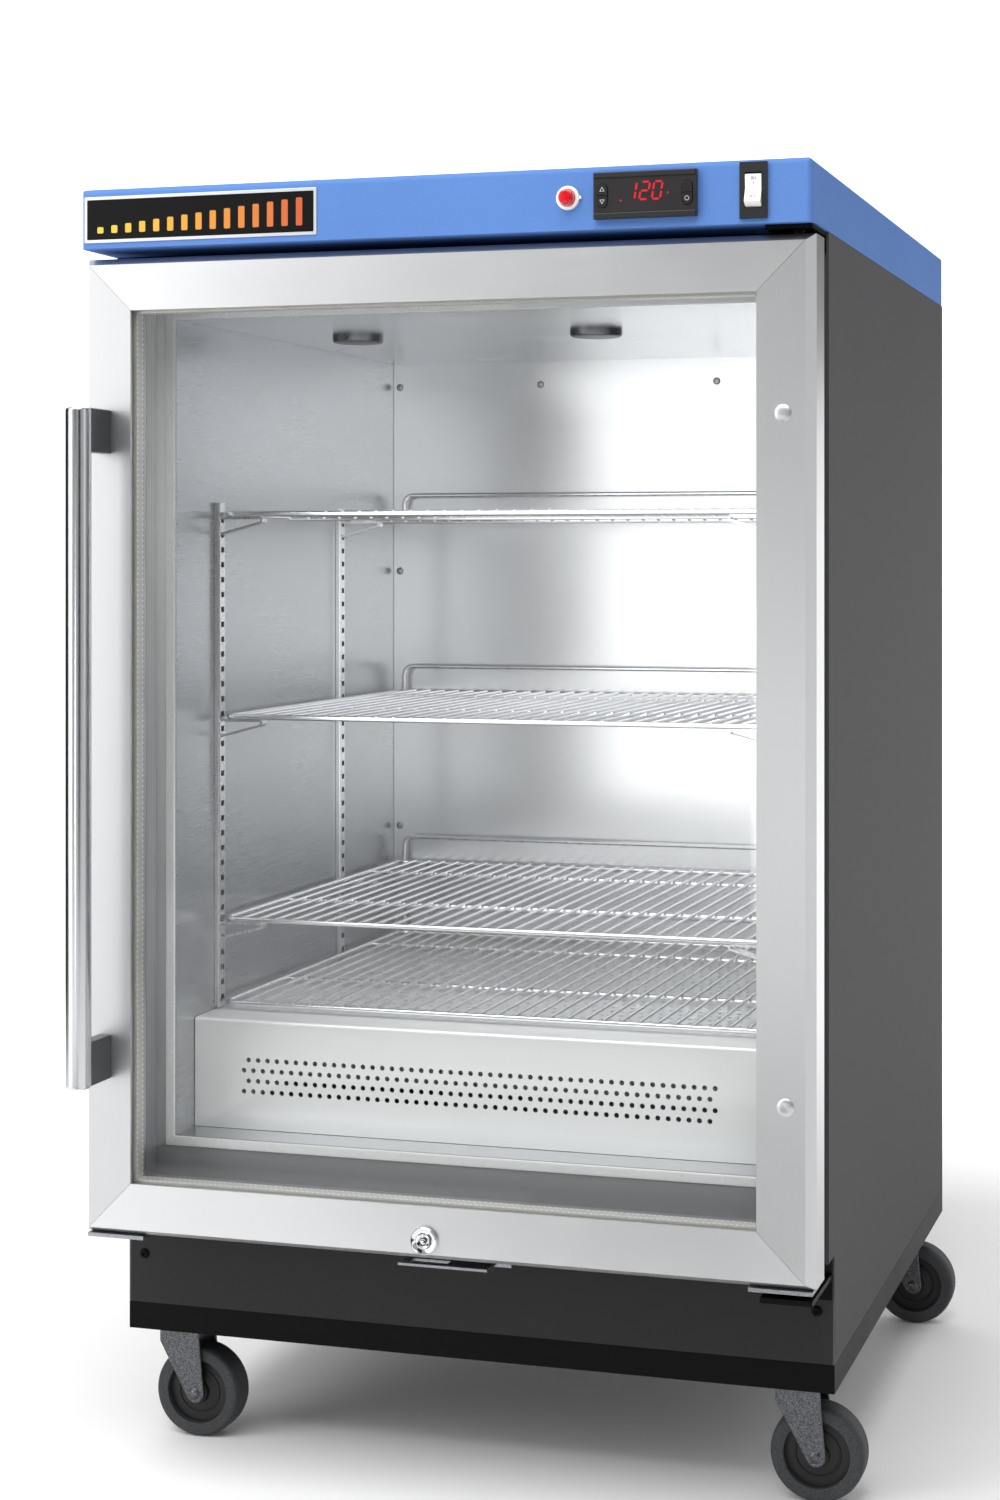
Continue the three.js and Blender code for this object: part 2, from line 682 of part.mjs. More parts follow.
function key(x, upper) {
  const z0 = upper ? PANEL_Z + 0.2 : PANEL_Z - 20;
  const shape = pill(CONTROLLER_X + x, KEYS.halfWidth - 0.3, KEYS.halfHeight - 0.3);
  const cap = slabXZ(shape, FACE_Y - KEY_TRAVEL, FACE_Y + 2.2, 8);
  const half = box(CONTROLLER_X + x - 10, CONTROLLER_X + x + 10, -90, -30, z0, z0 + 19.8);
  return toGeometry(solid(cap).intersect(solid(half)));
}

place(controls, "controller_housing", controllerHousing(), blackPlastic);
place(controls, "key_up", key(-KEYS.x, true), greyKey);
place(controls, "key_down", key(-KEYS.x, false), greyKey);
place(controls, "key_mode", key(KEYS.x, true), greyKey);
place(controls, "key_set", key(KEYS.x, false), greyKey);

// Rocker switch, resting with its upper half pressed in
const PIVOT_Y = FASCIA_Y + 3;

function switchBezel() {
  const flange = box(
    SWITCH_X - 10.5, SWITCH_X + 10.5, FASCIA_Y - 2.5, FASCIA_Y - GAP, PANEL_Z - 21, PANEL_Z + 21,
  );
  const body = box(SWITCH_X - 9, SWITCH_X + 9, FASCIA_Y - 1, FASCIA_Y + 26, PANEL_Z - 17, PANEL_Z + 17);
  const well = box(
    SWITCH_X - 6.5, SWITCH_X + 6.5, FASCIA_Y - 3, PIVOT_Y + 8.5, PANEL_Z - 13.3, PANEL_Z + 13.3,
  );
  return cut(join(flange, body), well);
}

function switchRocker() {
  const points = [[-5.5, 0]];
  for (let i = 0; i <= 6; i += 1) {
    const angle = THREE.MathUtils.degToRad(128 - i * 8);
    points.push([13 * Math.cos(angle), 13 * Math.sin(angle)]);
  }
  points.push([5, 5]);
  const mirrored = points.slice(1).reverse().map(([y, z]) => [y, -z]);
  const tilt = THREE.MathUtils.degToRad(ROCKER_TILT);
  const outline = [...points, ...mirrored].reverse().map(([y, z]) => [
    PIVOT_Y + y * Math.cos(tilt) + z * Math.sin(tilt),
    PANEL_Z - y * Math.sin(tilt) + z * Math.cos(tilt),
  ]);
  return slabYZ(polygon(outline), SWITCH_X - 6.15, SWITCH_X + 6.15);
}

place(controls, "switch_bezel", switchBezel(), blackPlastic);
place(controls, "switch_rocker", switchRocker(), whitePlastic);

// Pilot lamp: flanged body with a tapered lens
const lampProfile = [
  [0, -10], [4.2, -10], [5.6, -8.6], [6.4, -2.2], [9, -2], [9, -GAP], [6, -GAP], [6, 18], [0, 18],
];
place(controls, "indicator_lamp", turnedY(lampProfile, LAMP_X, FASCIA_Y, PANEL_Z, 24), redLens);

// Swivel casters, all trailing to the right, each built about its own stem
function casterFork() {
  const leg = new THREE.Shape();
  leg.moveTo(-18, 92);
  leg.lineTo(-18, 80);
  leg.lineTo(TRAIL - 6.4, WHEEL_RADIUS - 5);
  leg.absarc(TRAIL, WHEEL_RADIUS, 8, Math.PI * 1.2, Math.PI * 2, false);
  leg.lineTo(17, 92);
  leg.lineTo(-18, 92);
  return join(
    rodZ(22, 90, BASE_BOTTOM - GAP, 0, 0),
    box(-18, 17, -17, 17, 89, 92),
    slabXZ(leg, -17, -14.5, 6),
    slabXZ(leg, 14.5, 17, 6),
    rodY(4, -18.5, 18.5, TRAIL, WHEEL_RADIUS, 16),
    rodZ(6, 95, 113, 0, 0, 20),
  );
}

function casterWheel() {
  const nearSide = [
    [4.4, -13.5],
    [10, -13.5],
    [11, -9],
    [27, -9],
    [27, -WHEEL_HALF],
    [WHEEL_RADIUS - 3, -WHEEL_HALF],
    [WHEEL_RADIUS, -8],
  ];
  const farSide = nearSide.map(([radius, along]) => [radius, -along]).reverse();
  return turnedY([...nearSide, ...farSide, nearSide[0]], 0, 0, 0, 32);
}

const casters = [
  ["front_left", -CASTER_X, CASTER_FRONT],
  ["front_right", CASTER_X, CASTER_FRONT],
  ["rear_left", -CASTER_X, CASTER_REAR],
  ["rear_right", CASTER_X, CASTER_REAR],
];
for (const [corner, x, y] of casters) {
  const caster = group(cabinet, `caster_${corner}`, x, y);
  place(caster, `caster_fork_${corner}`, casterFork(), zinc);
  place(caster, `caster_wheel_${corner}`, casterWheel(), rubber).position.set(TRAIL, 0, WHEEL_RADIUS);
}

export default part;
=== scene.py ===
# %% [markdown]
# # Dressing a blanket warming cabinet
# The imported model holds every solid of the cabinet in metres, with +Z up and the door facing -Y.
# This lesson leaves those solids where they are and gives each of them a finish made of nodes.
# Thin wire, punched sheet, turned metal and moulded parts get finer pieces, worked out as surfaces
# with numpy, and each of those rides on the body that carries the real one.

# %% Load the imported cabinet
import json
import math

import bmesh
import bpy
import numpy as np
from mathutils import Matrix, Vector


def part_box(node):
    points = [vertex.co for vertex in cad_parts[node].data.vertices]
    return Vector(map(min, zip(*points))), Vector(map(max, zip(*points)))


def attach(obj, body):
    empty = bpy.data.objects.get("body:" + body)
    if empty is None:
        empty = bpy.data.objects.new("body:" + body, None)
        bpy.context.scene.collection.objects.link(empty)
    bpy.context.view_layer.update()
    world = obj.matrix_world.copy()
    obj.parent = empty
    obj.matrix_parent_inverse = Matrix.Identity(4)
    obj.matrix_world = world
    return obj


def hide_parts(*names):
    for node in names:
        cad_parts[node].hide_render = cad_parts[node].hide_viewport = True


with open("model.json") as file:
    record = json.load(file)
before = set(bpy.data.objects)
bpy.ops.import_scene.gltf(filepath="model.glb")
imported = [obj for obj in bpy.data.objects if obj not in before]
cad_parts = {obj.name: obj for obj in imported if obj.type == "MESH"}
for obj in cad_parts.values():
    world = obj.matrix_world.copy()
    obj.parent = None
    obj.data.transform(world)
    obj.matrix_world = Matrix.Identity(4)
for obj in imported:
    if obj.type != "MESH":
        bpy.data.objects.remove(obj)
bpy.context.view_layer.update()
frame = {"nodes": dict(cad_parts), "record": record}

nodes = frame["nodes"]

# %% [markdown]
# ## Cabinet millimetres
# Drawings of a cabinet count in millimetres from its own middle, its front plane and the floor.
# The shared frame counts in metres from the middle of the whole outline, handle and wheels included.
# The base tray is symmetric and ends at the back plane, so its box tells how the two frames differ.

# %% From cabinet millimetres to the shared frame
tray_low, tray_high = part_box("base_tray")
DEPTH = 563.0
MIDDLE = np.array([(tray_low.x + tray_high.x) / 2, tray_high.y - DEPTH / 1000, 0.0])


def to_frame(points):
    """Cabinet millimetres (x from the middle, y from the front plane, z from the floor) in metres."""
    return MIDDLE + np.asarray(points, float) / 1000


print("the cabinet's middle is at", MIDDLE.round(4))

# %% [markdown]
# ## Camera
# The view is a little below the top of the cabinet and to the right of it, from about two metres.
# A level camera keeps the uprights upright. The optical axis meets the picture above and right of
# its middle, so a small shift frames the cabinet in place of a tilt, which would make edges lean.

# %% Camera
FRAME_TALL = 1500  # the longer side, in which Blender counts the lens and the shift
FOCAL_PIXELS = 2403.0
AXIS_RIGHT, AXIS_UP = 150.0, 191.0
YAW = math.radians(15.68)
CAMERA_AT = (663, -1797, 740)

lens = bpy.data.cameras.new("studio_camera")
lens.sensor_width = 36.0
lens.lens = FOCAL_PIXELS * lens.sensor_width / FRAME_TALL
lens.shift_x = -AXIS_RIGHT / FRAME_TALL
lens.shift_y = -AXIS_UP / FRAME_TALL
camera = bpy.data.objects.new("studio_camera", lens)
camera.location = to_frame(CAMERA_AT)
camera.rotation_euler = (math.radians(90), 0, YAW)
bpy.context.scene.collection.objects.link(camera)
bpy.context.scene.camera = camera
bpy.context.scene.view_settings.view_transform = "Standard"
print("lens", round(lens.lens, 1), "mm, shift", round(lens.shift_x, 3), round(lens.shift_y, 3))

# %% [markdown]
# ## Shapes as arrays
# A shape here is a pair: an array of points in cabinet millimetres, and a list of arrays of faces.
# Shapes are joined by stacking their points, and repeated by adding offsets to a whole array at once.
# One function at the end turns a shape into an object, so every piece is finished the same way.

# %% Joining and repeating shapes
def joined(*shapes):
    """Several shapes as one: points are stacked, and face numbers move up by the points before them."""
    points = np.concatenate([p for p, _ in shapes])
    starts = np.cumsum([0] + [len(p) for p, _ in shapes[:-1]])
    faces = [rows + start for (_, lists), start in zip(shapes, starts) for rows in lists]
    return points, faces


def repeated(shape, offsets):
    """One shape at every offset: each copy adds its offset to the points and its count to the faces."""
    points, lists = shape
    offsets = np.asarray(offsets, float)
    copies = (points[None] + offsets[:, None]).reshape(-1, 3)
    step = np.arange(len(offsets))[:, None, None] * len(points)
    return copies, [(rows[None] + step).reshape(-1, rows.shape[1]) for rows in lists]


def moved(shape, offset):
    """The same shape with one offset added to all its points."""
    return shape[0] + np.asarray(offset, float), shape[1]


# %% Turning a shape into a piece
MERGE_WITHIN = 2e-6


def piece(name, shape, finish, body, stands_for=(), closed=True, crease=35.0):
    """An object at the origin with its place in its mesh: doubles merged, faces outward, edges past
    the crease angle kept sharp, and flat faces kept flat where a round edge meets them. An open sheet
    stays faceted. The object rides on a body, and may stand for solids of the frame."""
    points, lists = shape
    mesh = bpy.data.meshes.new(name)
    faces = [row for rows in lists for row in rows.tolist()]
    mesh.from_pydata(to_frame(points).tolist(), [], faces)
    clean = bmesh.new()
    clean.from_mesh(mesh)
    bmesh.ops.remove_doubles(clean, verts=clean.verts, dist=MERGE_WITHIN)
    if closed:
        bmesh.ops.recalc_face_normals(clean, faces=clean.faces)
    clean.to_mesh(mesh)
    clean.free()
    if closed:
        mesh.shade_smooth()
        mesh.set_sharp_from_angle(angle=math.radians(crease))
    mesh.materials.append(finish)
    made = bpy.data.objects.new(name, mesh)
    bpy.context.scene.collection.objects.link(made)
    if closed:
        level = made.modifiers.new("level_faces", "WEIGHTED_NORMAL")
        level.keep_sharp = True
    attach(made, body)
    if stands_for:
        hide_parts(*stands_for)
    return made


def thickened(sheet, metres=0.0011):
    """An open sheet given the thickness of its metal, on the side that its faces turn away from."""
    wall = sheet.modifiers.new("sheet", "SOLIDIFY")
    wall.thickness, wall.offset = metres, -1.0
    return sheet


# %% Grids, turned forms and rods
AXES = {
    "x": np.array([(0, 1, 0), (0, 0, 1), (1, 0, 0)], float),
    "y": np.array([(0, 0, 1), (1, 0, 0), (0, 1, 0)], float),
    "z": np.array([(1, 0, 0), (0, 1, 0), (0, 0, 1)], float),
}


def ring_faces(rings, sides, loop=False):
    """Quads of a grid that closes across, and also along where it is a loop."""
    i = np.arange(rings if loop else rings - 1)[:, None]
    j = np.arange(sides)[None]
    near, far = i * sides, ((i + 1) % rings) * sides
    after = (j + 1) % sides
    return np.stack([near + j, near + after, far + after, far + j], -1).reshape(-1, 4)


def turned(profile, centre, axis, sides=48):
    """A turned form: step k at angle a lies at centre + along[k] on the axis
    + radius[k] times (cos a, sin a) across it. A radius of 0 closes an end."""
    radius, along = np.asarray(profile, float).T
    u, v, w = AXES[axis]
    angle = np.arange(sides) * 2 * math.pi / sides
    spoke = np.cos(angle)[:, None] * u + np.sin(angle)[:, None] * v
    points = along[:, None, None] * w + radius[:, None, None] * spoke
    return np.asarray(centre, float) + points.reshape(-1, 3), [ring_faces(len(radius), sides)]


def rod(path, radius, normal, sides=10, loop=False):
    """A round rod: a circle carried along a path that lies in a plane with this normal.
    An open rod ends in two domes, whose rings shrink to a point past the path's ends."""
    path = np.asarray(path, float)
    normal = np.asarray(normal, float)
    ahead = np.roll(path, -1, 0) - np.roll(path, 1, 0) if loop else np.gradient(path, axis=0)
    ahead /= np.linalg.norm(ahead, axis=1, keepdims=True)
    reach = np.full(len(path), float(radius))
    if not loop:
        first, last = ahead[:1], ahead[-1:]
        dome = np.array([0.95, 0.8, 0.45])[:, None] * radius
        path = np.concatenate([path[:1] - dome * first, path, path[-1:] + dome[::-1] * last])
        ahead = np.concatenate([np.repeat(first, 3, 0), ahead, np.repeat(last, 3, 0)])
        shrink = np.array([0.0, 0.6, 0.9]) * radius
        reach = np.concatenate([shrink, reach, shrink[::-1]])
    side = np.cross(normal, ahead)
    angle = np.arange(sides) * 2 * math.pi / sides
    circle = np.cos(angle)[:, None] * side[:, None] + np.sin(angle)[:, None] * normal
    points = path[:, None] + reach[:, None, None] * circle
    return points.reshape(-1, 3), [ring_faces(len(path), sides, loop)]


# %% Lofted blocks and outlines
# Each set of axes holds the outline's first and second direction, and the way in which the block grows.
FRONT = np.array([(1, 0, 0), (0, 0, 1), (0, -1, 0)], float)
REAR = np.array([(-1, 0, 0), (0, 0, 1), (0, 1, 0)], float)
UP = np.array([(1, 0, 0), (0, 1, 0), (0, 0, 1)], float)
ORIGIN = (0.0, 0.0, 0.0)


def lofted(outline, steps, origin, axes):
    """A block: each step is (how far its outline is drawn in, how far along the third axis), the
    outline's corners move along their mitres, and both ends are closed with one face."""
    outline = np.asarray(outline, float)
    edge = np.roll(outline, -1, 0) - outline
    edge /= np.linalg.norm(edge, axis=1, keepdims=True)
    out = np.stack([edge[:, 1], -edge[:, 0]], 1)
    before = np.roll(out, 1, 0)
    mitre = (out + before) / (1 + (out * before).sum(1, keepdims=True))
    inset, along = np.asarray(steps, float).T
    flat = outline[None] - inset[:, None, None] * mitre[None]
    points = flat[..., :1] * axes[0] + flat[..., 1:] * axes[1] + along[:, None, None] * axes[2]
    count = len(outline)
    caps = np.stack([np.arange(count)[::-1], np.arange(count) + (len(steps) - 1) * count])
    faces = [ring_faces(len(steps), count), caps]
    return np.asarray(origin, float) + points.reshape(-1, 3), faces


def rounded(width, height, radius, steps=4):
    """The outline of a rectangle with rounded corners: four quarter circles, counter-clockwise."""
    quarter = np.linspace(0, math.pi / 2, steps + 1)
    angle = (quarter[None] + np.arange(4)[:, None] * math.pi / 2).ravel()
    side = np.array([(1, 1), (-1, 1), (-1, -1), (1, -1)], float).repeat(steps + 1, 0)
    corner = side * (width / 2 - radius, height / 2 - radius)
    return corner + radius * np.stack([np.cos(angle), np.sin(angle)], 1)


def eased(height, radius, foot=0.0):
    """Steps of a block of this height whose far edge is rounded over the given radius."""
    angle = np.linspace(0, math.pi / 2, 5)
    bend = np.stack([radius * (1 - np.cos(angle)), height - radius + radius * np.sin(angle)], 1)
    return np.concatenate([[(foot, 0.0)], bend])


print("shape helpers ready")

# %% [markdown]
# ## Finishes as node expressions
# A material is easier to read as arithmetic than as a list of links. The class below wraps one socket
# of a node tree. Adding or multiplying two of them adds a Math node, and any other node comes from
# one method that takes its type, its settings and its inputs.

# %% One socket with arithmetic
class Flow:
    """One output socket of a material. Python's operators on it add Math nodes to its tree."""

    def __init__(self, tree, socket):
        self.tree, self.socket = tree, socket

    def node(self, kind, settings=(), inputs=(), out=0):
        """Adds a node: its type, its settings first, then the values or links of its sockets."""
        made = self.tree.nodes.new(kind)
        for key, value in dict(settings).items():
            if key == "stops":
                ramp = made.color_ramp.elements
                while len(ramp) < len(value):
                    ramp.new(0.5)
                for stop, (place, colour) in zip(ramp, value):
                    stop.position, stop.color = place, (*colour, 1)
            else:
                setattr(made, key, value)
        for key, value in dict(inputs).items():
            if isinstance(value, Flow):
                self.tree.links.new(value.socket, made.inputs[key])
            else:
                made.inputs[key].default_value = value
        return Flow(self.tree, made.outputs[out])

    def math(self, operation, other=0.0, other_first=False):
        """A Math node of this value and another one, which comes first where the order is turned."""
        pair = (other, self) if other_first else (self, other)
        return self.node("ShaderNodeMath", {"operation": operation}, enumerate(pair))

    def __add__(self, other):
        return self.math("ADD", other)

    def __sub__(self, other):
        return self.math("SUBTRACT", other)

    def __rsub__(self, other):
        return self.math("SUBTRACT", other, True)

    def __mul__(self, other):
        return self.math("MULTIPLY", other)

    def __truediv__(self, other):
        return self.math("DIVIDE", other)

    def __rtruediv__(self, other):
        return self.math("DIVIDE", other, True)

    def __lt__(self, other):
        return self.math("LESS_THAN", other)

    __radd__ = __add__
    __rmul__ = __mul__

    def scaled(self, scale):
        """The coordinates stretched by a factor for each axis."""
        return self.node("ShaderNodeMapping", {}, {"Vector": self, "Scale": scale})

    def noise(self, scale, detail=2.0, rough=0.5):
        """A cloudy value over these coordinates, with lumps of about 1/scale metres."""
        values = {"Vector": self, "Scale": scale, "Detail": detail, "Roughness": rough}
        return self.node("ShaderNodeTexNoise", {}, values)

    def ramp(self, *stops):
        """A colour that follows this value through pairs of (position, colour)."""
        return self.node("ShaderNodeValToRGB", {"stops": stops}, {"Fac": self})

    def mixed(self, first, second):
        """A colour between two colours, by this value."""
        return self.node("ShaderNodeMix", {"data_type": "RGBA"}, {0: self, 6: first, 7: second}, 2)

    def bump(self, distance):
        """A normal that leans as if this value were a height, times a distance in metres."""
        return self.node("ShaderNodeBump", {}, {"Height": self, "Distance": distance})

    def axis(self, name):
        """One of the three coordinates."""
        return self.node("ShaderNodeSeparateXYZ", {}, {0: self}, "XYZ".index(name))


# %% Starting a finish
def linear(red, green, blue):
    """A colour as seen on screen, 0 to 255, as the linear light that shaders count in."""
    share = np.array([red, green, blue]) / 255
    light = np.where(share <= 0.04045, share / 12.92, ((share + 0.055) / 1.055) ** 2.4)
    return (*light.tolist(), 1.0)


def shaded(colour, share):
    """The same colour with only a share of its light."""
    return (*[c * share for c in colour[:3]], 1.0)


def begin(name, **constants):
    """A material with one Principled shader, its constant sockets set, and the Object coordinates."""
    material = bpy.data.materials.new(name)
    material.use_nodes = True
    tree = material.node_tree
    tree.nodes.clear()
    output = tree.nodes.new("ShaderNodeOutputMaterial")
    shader = tree.nodes.new("ShaderNodeBsdfPrincipled")
    tree.links.new(shader.outputs[0], output.inputs[0])
    for key, value in constants.items():
        shader.inputs[key.replace("_", " ").title().replace("Ior", "IOR")].default_value = value
    place = Flow(tree, tree.nodes.new("ShaderNodeTexCoord").outputs["Object"])
    return material, shader, place


def feed(shader, **flows):
    """Links what changes over the surface to the shader's sockets."""
    tree = shader.id_data
    for key, flow in flows.items():
        tree.links.new(flow.socket, shader.inputs[key.replace("_", " ").title()])


print("finish helpers ready")

# %% [markdown]
# ## Sprayed and powder-coated sheet
# The cover is sprayed blue, the sides are warm grey, and the base and brackets are black. Powder coat
# dries with a fine orange peel of about a millimetre, and its gloss is never quite even. Two noises of
# different size give both: the fine one feeds a bump, the coarse one shifts colour and roughness.

# %% Paint
def powder_coat(name, colour, roughness, gloss=0.15, peel=0.00004, size=900.0):
    """Paint whose roughness and shade drift over a hand's width, with a fine peel as a bump."""
    material, shader, place = begin(name, specular_ior_level=gloss)
    drift = place.noise(7.0, 3.0)
    fine = place.noise(size, 2.0)
    shade = (drift * 0.35 + fine * 0.65).ramp((0.3, shaded(colour, 0.86)[:3]),
                                              (0.7, shaded(colour, 1.04)[:3]))
    feed(shader, base_color=shade, roughness=drift * 0.1 + (roughness - 0.05), normal=fine.bump(peel))
    return material


blue_paint = powder_coat("blue_paint", linear(91, 129, 192), 0.6, 0.05)
grey_paint = powder_coat("grey_paint", linear(84, 83, 85), 0.7, 0.06)
black_paint = powder_coat("black_paint", linear(9, 9, 10), 0.45, 0.08)
kick_paint = powder_coat("kick_paint", linear(44, 42, 42), 0.5, 0.15)

# %% [markdown]
# ## Brushed sheet and plated wire
# The liner and the door frame are brushed metal: fine scratches that all run one way. A noise that is
# stretched a hundredfold along the grain makes them, and a broad, weak wave makes the sheet uneven,
# as thin sheet always is, so that reflections bend in it. Wires and the handle are plated and smooth.

# %% Brushed and plated metal
ALONG_X = (24.0, 2400.0, 2400.0)
ALONG_Z = (2400.0, 2400.0, 24.0)
ALONG_FLOOR = (24.0, 24.0, 2400.0)


def brushed(name, colour, roughness, grain, scratch=0.000004, wave=0.0, metallic=1.0):
    """Metal with scratches along one axis: the streaks shift its shade, roughness and height."""
    material, shader, place = begin(name, metallic=metallic)
    streak = place.scaled(grain).noise(1.0, 3.0, 0.6)
    drift = place.noise(9.0, 2.0)
    shade = (streak * 0.6 + drift * 0.4).mixed(shaded(colour, 0.9), colour)
    height = streak * scratch + place.scaled((1, 1, 2.4)).noise(3.0, 0.0) * wave
    feed(shader, base_color=shade, roughness=streak * 0.1 + drift * 0.06 + (roughness - 0.08),
         normal=height.bump(1.0))
    return material


def plated(name, colour, roughness, speckle=0.06):
    """Smooth metal whose gloss is a little cloudy."""
    material, shader, place = begin(name, metallic=1.0)
    cloud = place.noise(160.0, 3.0)
    shade = cloud.mixed(shaded(colour, 0.93), colour)
    feed(shader, base_color=shade, roughness=cloud * speckle + (roughness - speckle / 2))
    return material


STEEL = linear(214, 216, 219)
# The liner's walls, back, ceiling and floor, and the heater cover, are one steel. Their different shades
# are painted shade and light: darker on the side walls, paler and less metallic on the back wall and the
# heater cover.
liner_wall = brushed("liner_wall", linear(186, 188, 191), 0.29, ALONG_FLOOR, wave=0.0018, metallic=0.9)
liner_rear = brushed("liner_rear", linear(229, 230, 232), 0.24, ALONG_Z, wave=0.0022, metallic=0.8)
liner_flat = brushed("liner_flat", STEEL, 0.25, ALONG_X, wave=0.0020, metallic=0.85)
deck_sheet = brushed("deck_sheet", linear(232, 233, 234), 0.4, ALONG_X, wave=0.0003, metallic=0.4)
standard_steel = brushed("standard_steel", linear(222, 223, 225), 0.28, ALONG_Z)
# Stiles and rails are one steel too: the stiles' darker shade is painted shade.
frame_upright = brushed("frame_upright", linear(206, 207, 208), 0.38, ALONG_Z)
frame_level = brushed("frame_level", linear(221, 222, 223), 0.37, ALONG_X)
post_metal = brushed("post_metal", linear(104, 105, 108), 0.36, ALONG_Z)
wire_plate = plated("wire_plate", linear(226, 227, 229), 0.2)
bar_chrome = plated("bar_chrome", STEEL, 0.2, 0.05)
lock_chrome = plated("lock_chrome", linear(226, 227, 229), 0.09, 0.03)
print(len(bpy.data.materials), "finishes so far")

# %% [markdown]
# ## Zinc, rubber, plastic and fibre
# Caster forks are zinc plated and dull, with a fine sparkle of crystals. The chamber's lip is the liner's
# steel, given a paler, less metallic copy that paints the bright line light draws along its fold. Tyres are
# rubber, matt and slightly speckled. Moulded plastic has a fine even grain, and the fibre round the chamber
# is a tangle of pale threads that nobody sees until a wall comes off.

# %% Dull finishes
def speckled(name, dark, light, roughness, size, metallic=0.0, depth=0.00003):
    """Two shades mixed in specks of about 1/size metres, with the specks as a bump."""
    material, shader, place = begin(name, metallic=metallic)
    specks = place.noise(size, 3.0, 0.65)
    sharp = specks.ramp((0.36, (0, 0, 0)), (0.66, (1, 1, 1)))
    feed(shader, base_color=sharp.mixed(dark, light), roughness=specks * 0.2 + (roughness - 0.1),
         normal=specks.bump(depth))
    return material


def moulded(name, colour, roughness, grain=2600.0, depth=0.00002):
    """Plastic with an even fine grain from its mould and a faint cloud in its gloss."""
    material, shader, place = begin(name, specular_ior_level=0.5)
    fine = place.noise(grain, 1.0)
    cloud = place.noise(45.0, 2.0)
    shade = cloud.mixed(shaded(colour, 0.9), colour)
    feed(shader, base_color=shade, roughness=cloud * 0.08 + (roughness - 0.04), normal=fine.bump(depth))
    return material


zinc = speckled("zinc", linear(138, 140, 144), linear(176, 179, 184), 0.40, 900.0, 1.0, 0.00001)
fork_zinc = speckled("fork_zinc", linear(56, 57, 60), linear(118, 120, 124), 0.36, 1100.0, 1.0, 0.00002)
# The lip is the liner's steel made paler and less metallic: a painted highlight along its fold.
lip_steel = speckled("lip_steel", linear(228, 229, 231), linear(245, 246, 247), 0.42, 900.0, 0.3, 0.00001)
heater_sheath = speckled("heater_sheath", linear(60, 58, 57), linear(110, 104, 100), 0.45, 700.0, 1.0)
tyre_rubber = speckled("tyre_rubber", linear(24, 25, 27), linear(68, 70, 73), 0.7, 1500.0, 0.0, 0.00004)
fibre = speckled("fibre", linear(190, 178, 130), linear(238, 230, 200), 0.95, 260.0, 0.0, 0.0008)
black_plastic = moulded("black_plastic", linear(15, 15, 16), 0.45)
hub_plastic = moulded("hub_plastic", linear(8, 8, 9), 0.55)
controller_face = moulded("controller_face", linear(36, 31, 32), 0.34, 3000.0, 0.000006)
key_plastic = moulded("key_plastic", linear(20, 19, 20), 0.36)
white_plastic = moulded("white_plastic", linear(240, 239, 234), 0.32, 3000.0, 0.000008)
print(len(bpy.data.materials), "finishes so far")

# %% [markdown]
# ## Seals round the glass
# The two panes are held apart by a metal spacer, in which two rows of tiny holes catch the light; their
# glints are painted on as white dots. Behind it a magnet gasket closes on the cabinet's front frame. Gasket
# and frame are black where they show outside the door, and pale where they face the chamber, where a
# painted shade makes them greyer low down than near the top. So their finish asks which side of the sealing
# line a point is on, and how high it is.

# %% Gasket and front frame
SEAL_MIDDLE_Z, SEAL_HALF_WIDE, SEAL_HALF_TALL = 0.5895, 0.2655, 0.358  # metres, as all sizes in a finish
SEAL_FOLD = 0.0045
PAINTED_SHADE_BELOW, PAINTED_SHADE_SPAN = 0.32, 0.5  # the shade starts to change this far below the middle, over this span


def two_tone(name, outside, low, high, roughness, rib=0.0):
    """One shade beyond the sealing line, another within it: a point is within where its distance from the
    middle of the door is below the half width and the half height of that line. Within, a painted shade
    goes from low to high as the point rises, darker near the floor where less light falls. The ribs are a
    sine wave along Y that paints the shade in the creases of a bellows gasket's folds."""
    material, shader, place = begin(name)
    across = place.axis("X") - float(MIDDLE[0])
    up = place.axis("Z") - SEAL_MIDDLE_Z
    within = (across.math("ABSOLUTE") < SEAL_HALF_WIDE) * (up.math("ABSOLUTE") < SEAL_HALF_TALL)
    folds = place.axis("Y") * (2 * math.pi / SEAL_FOLD)
    grain = place.noise(1100.0, 2.0)
    # Painted shade: the sine darkens the creases of the gasket's folds, and the inner tone darkens towards
    # the floor.
    grain_and_painted_fold_shade = grain * 0.3 + folds.math("SINE") * rib + 0.6
    inside = ((up + PAINTED_SHADE_BELOW) / PAINTED_SHADE_SPAN).mixed(grain_and_painted_fold_shade.mixed(shaded(low, 0.55), low),
                                                   grain_and_painted_fold_shade.mixed(shaded(high, 0.55), high))
    feed(shader, base_color=within.mixed(outside, inside), roughness=grain * 0.2 + (roughness - 0.1),
         normal=grain.bump(0.00002))
    return material


PALE_SEAL = linear(232, 232, 233)
gasket_rubber = two_tone("gasket_rubber", linear(22, 22, 24), linear(160, 160, 166), PALE_SEAL, 0.5, 0.2)
front_plastic = two_tone("front_plastic", linear(20, 20, 22), linear(152, 152, 154), PALE_SEAL, 0.4)

# %% Spacer with dots
DOT_PITCH, DOT_RADIUS = 0.0044, 0.0008
SPACER_Y, DOT_ROW = -45.05, 0.0042  # the spacer's middle in millimetres, and its rows' distance from it


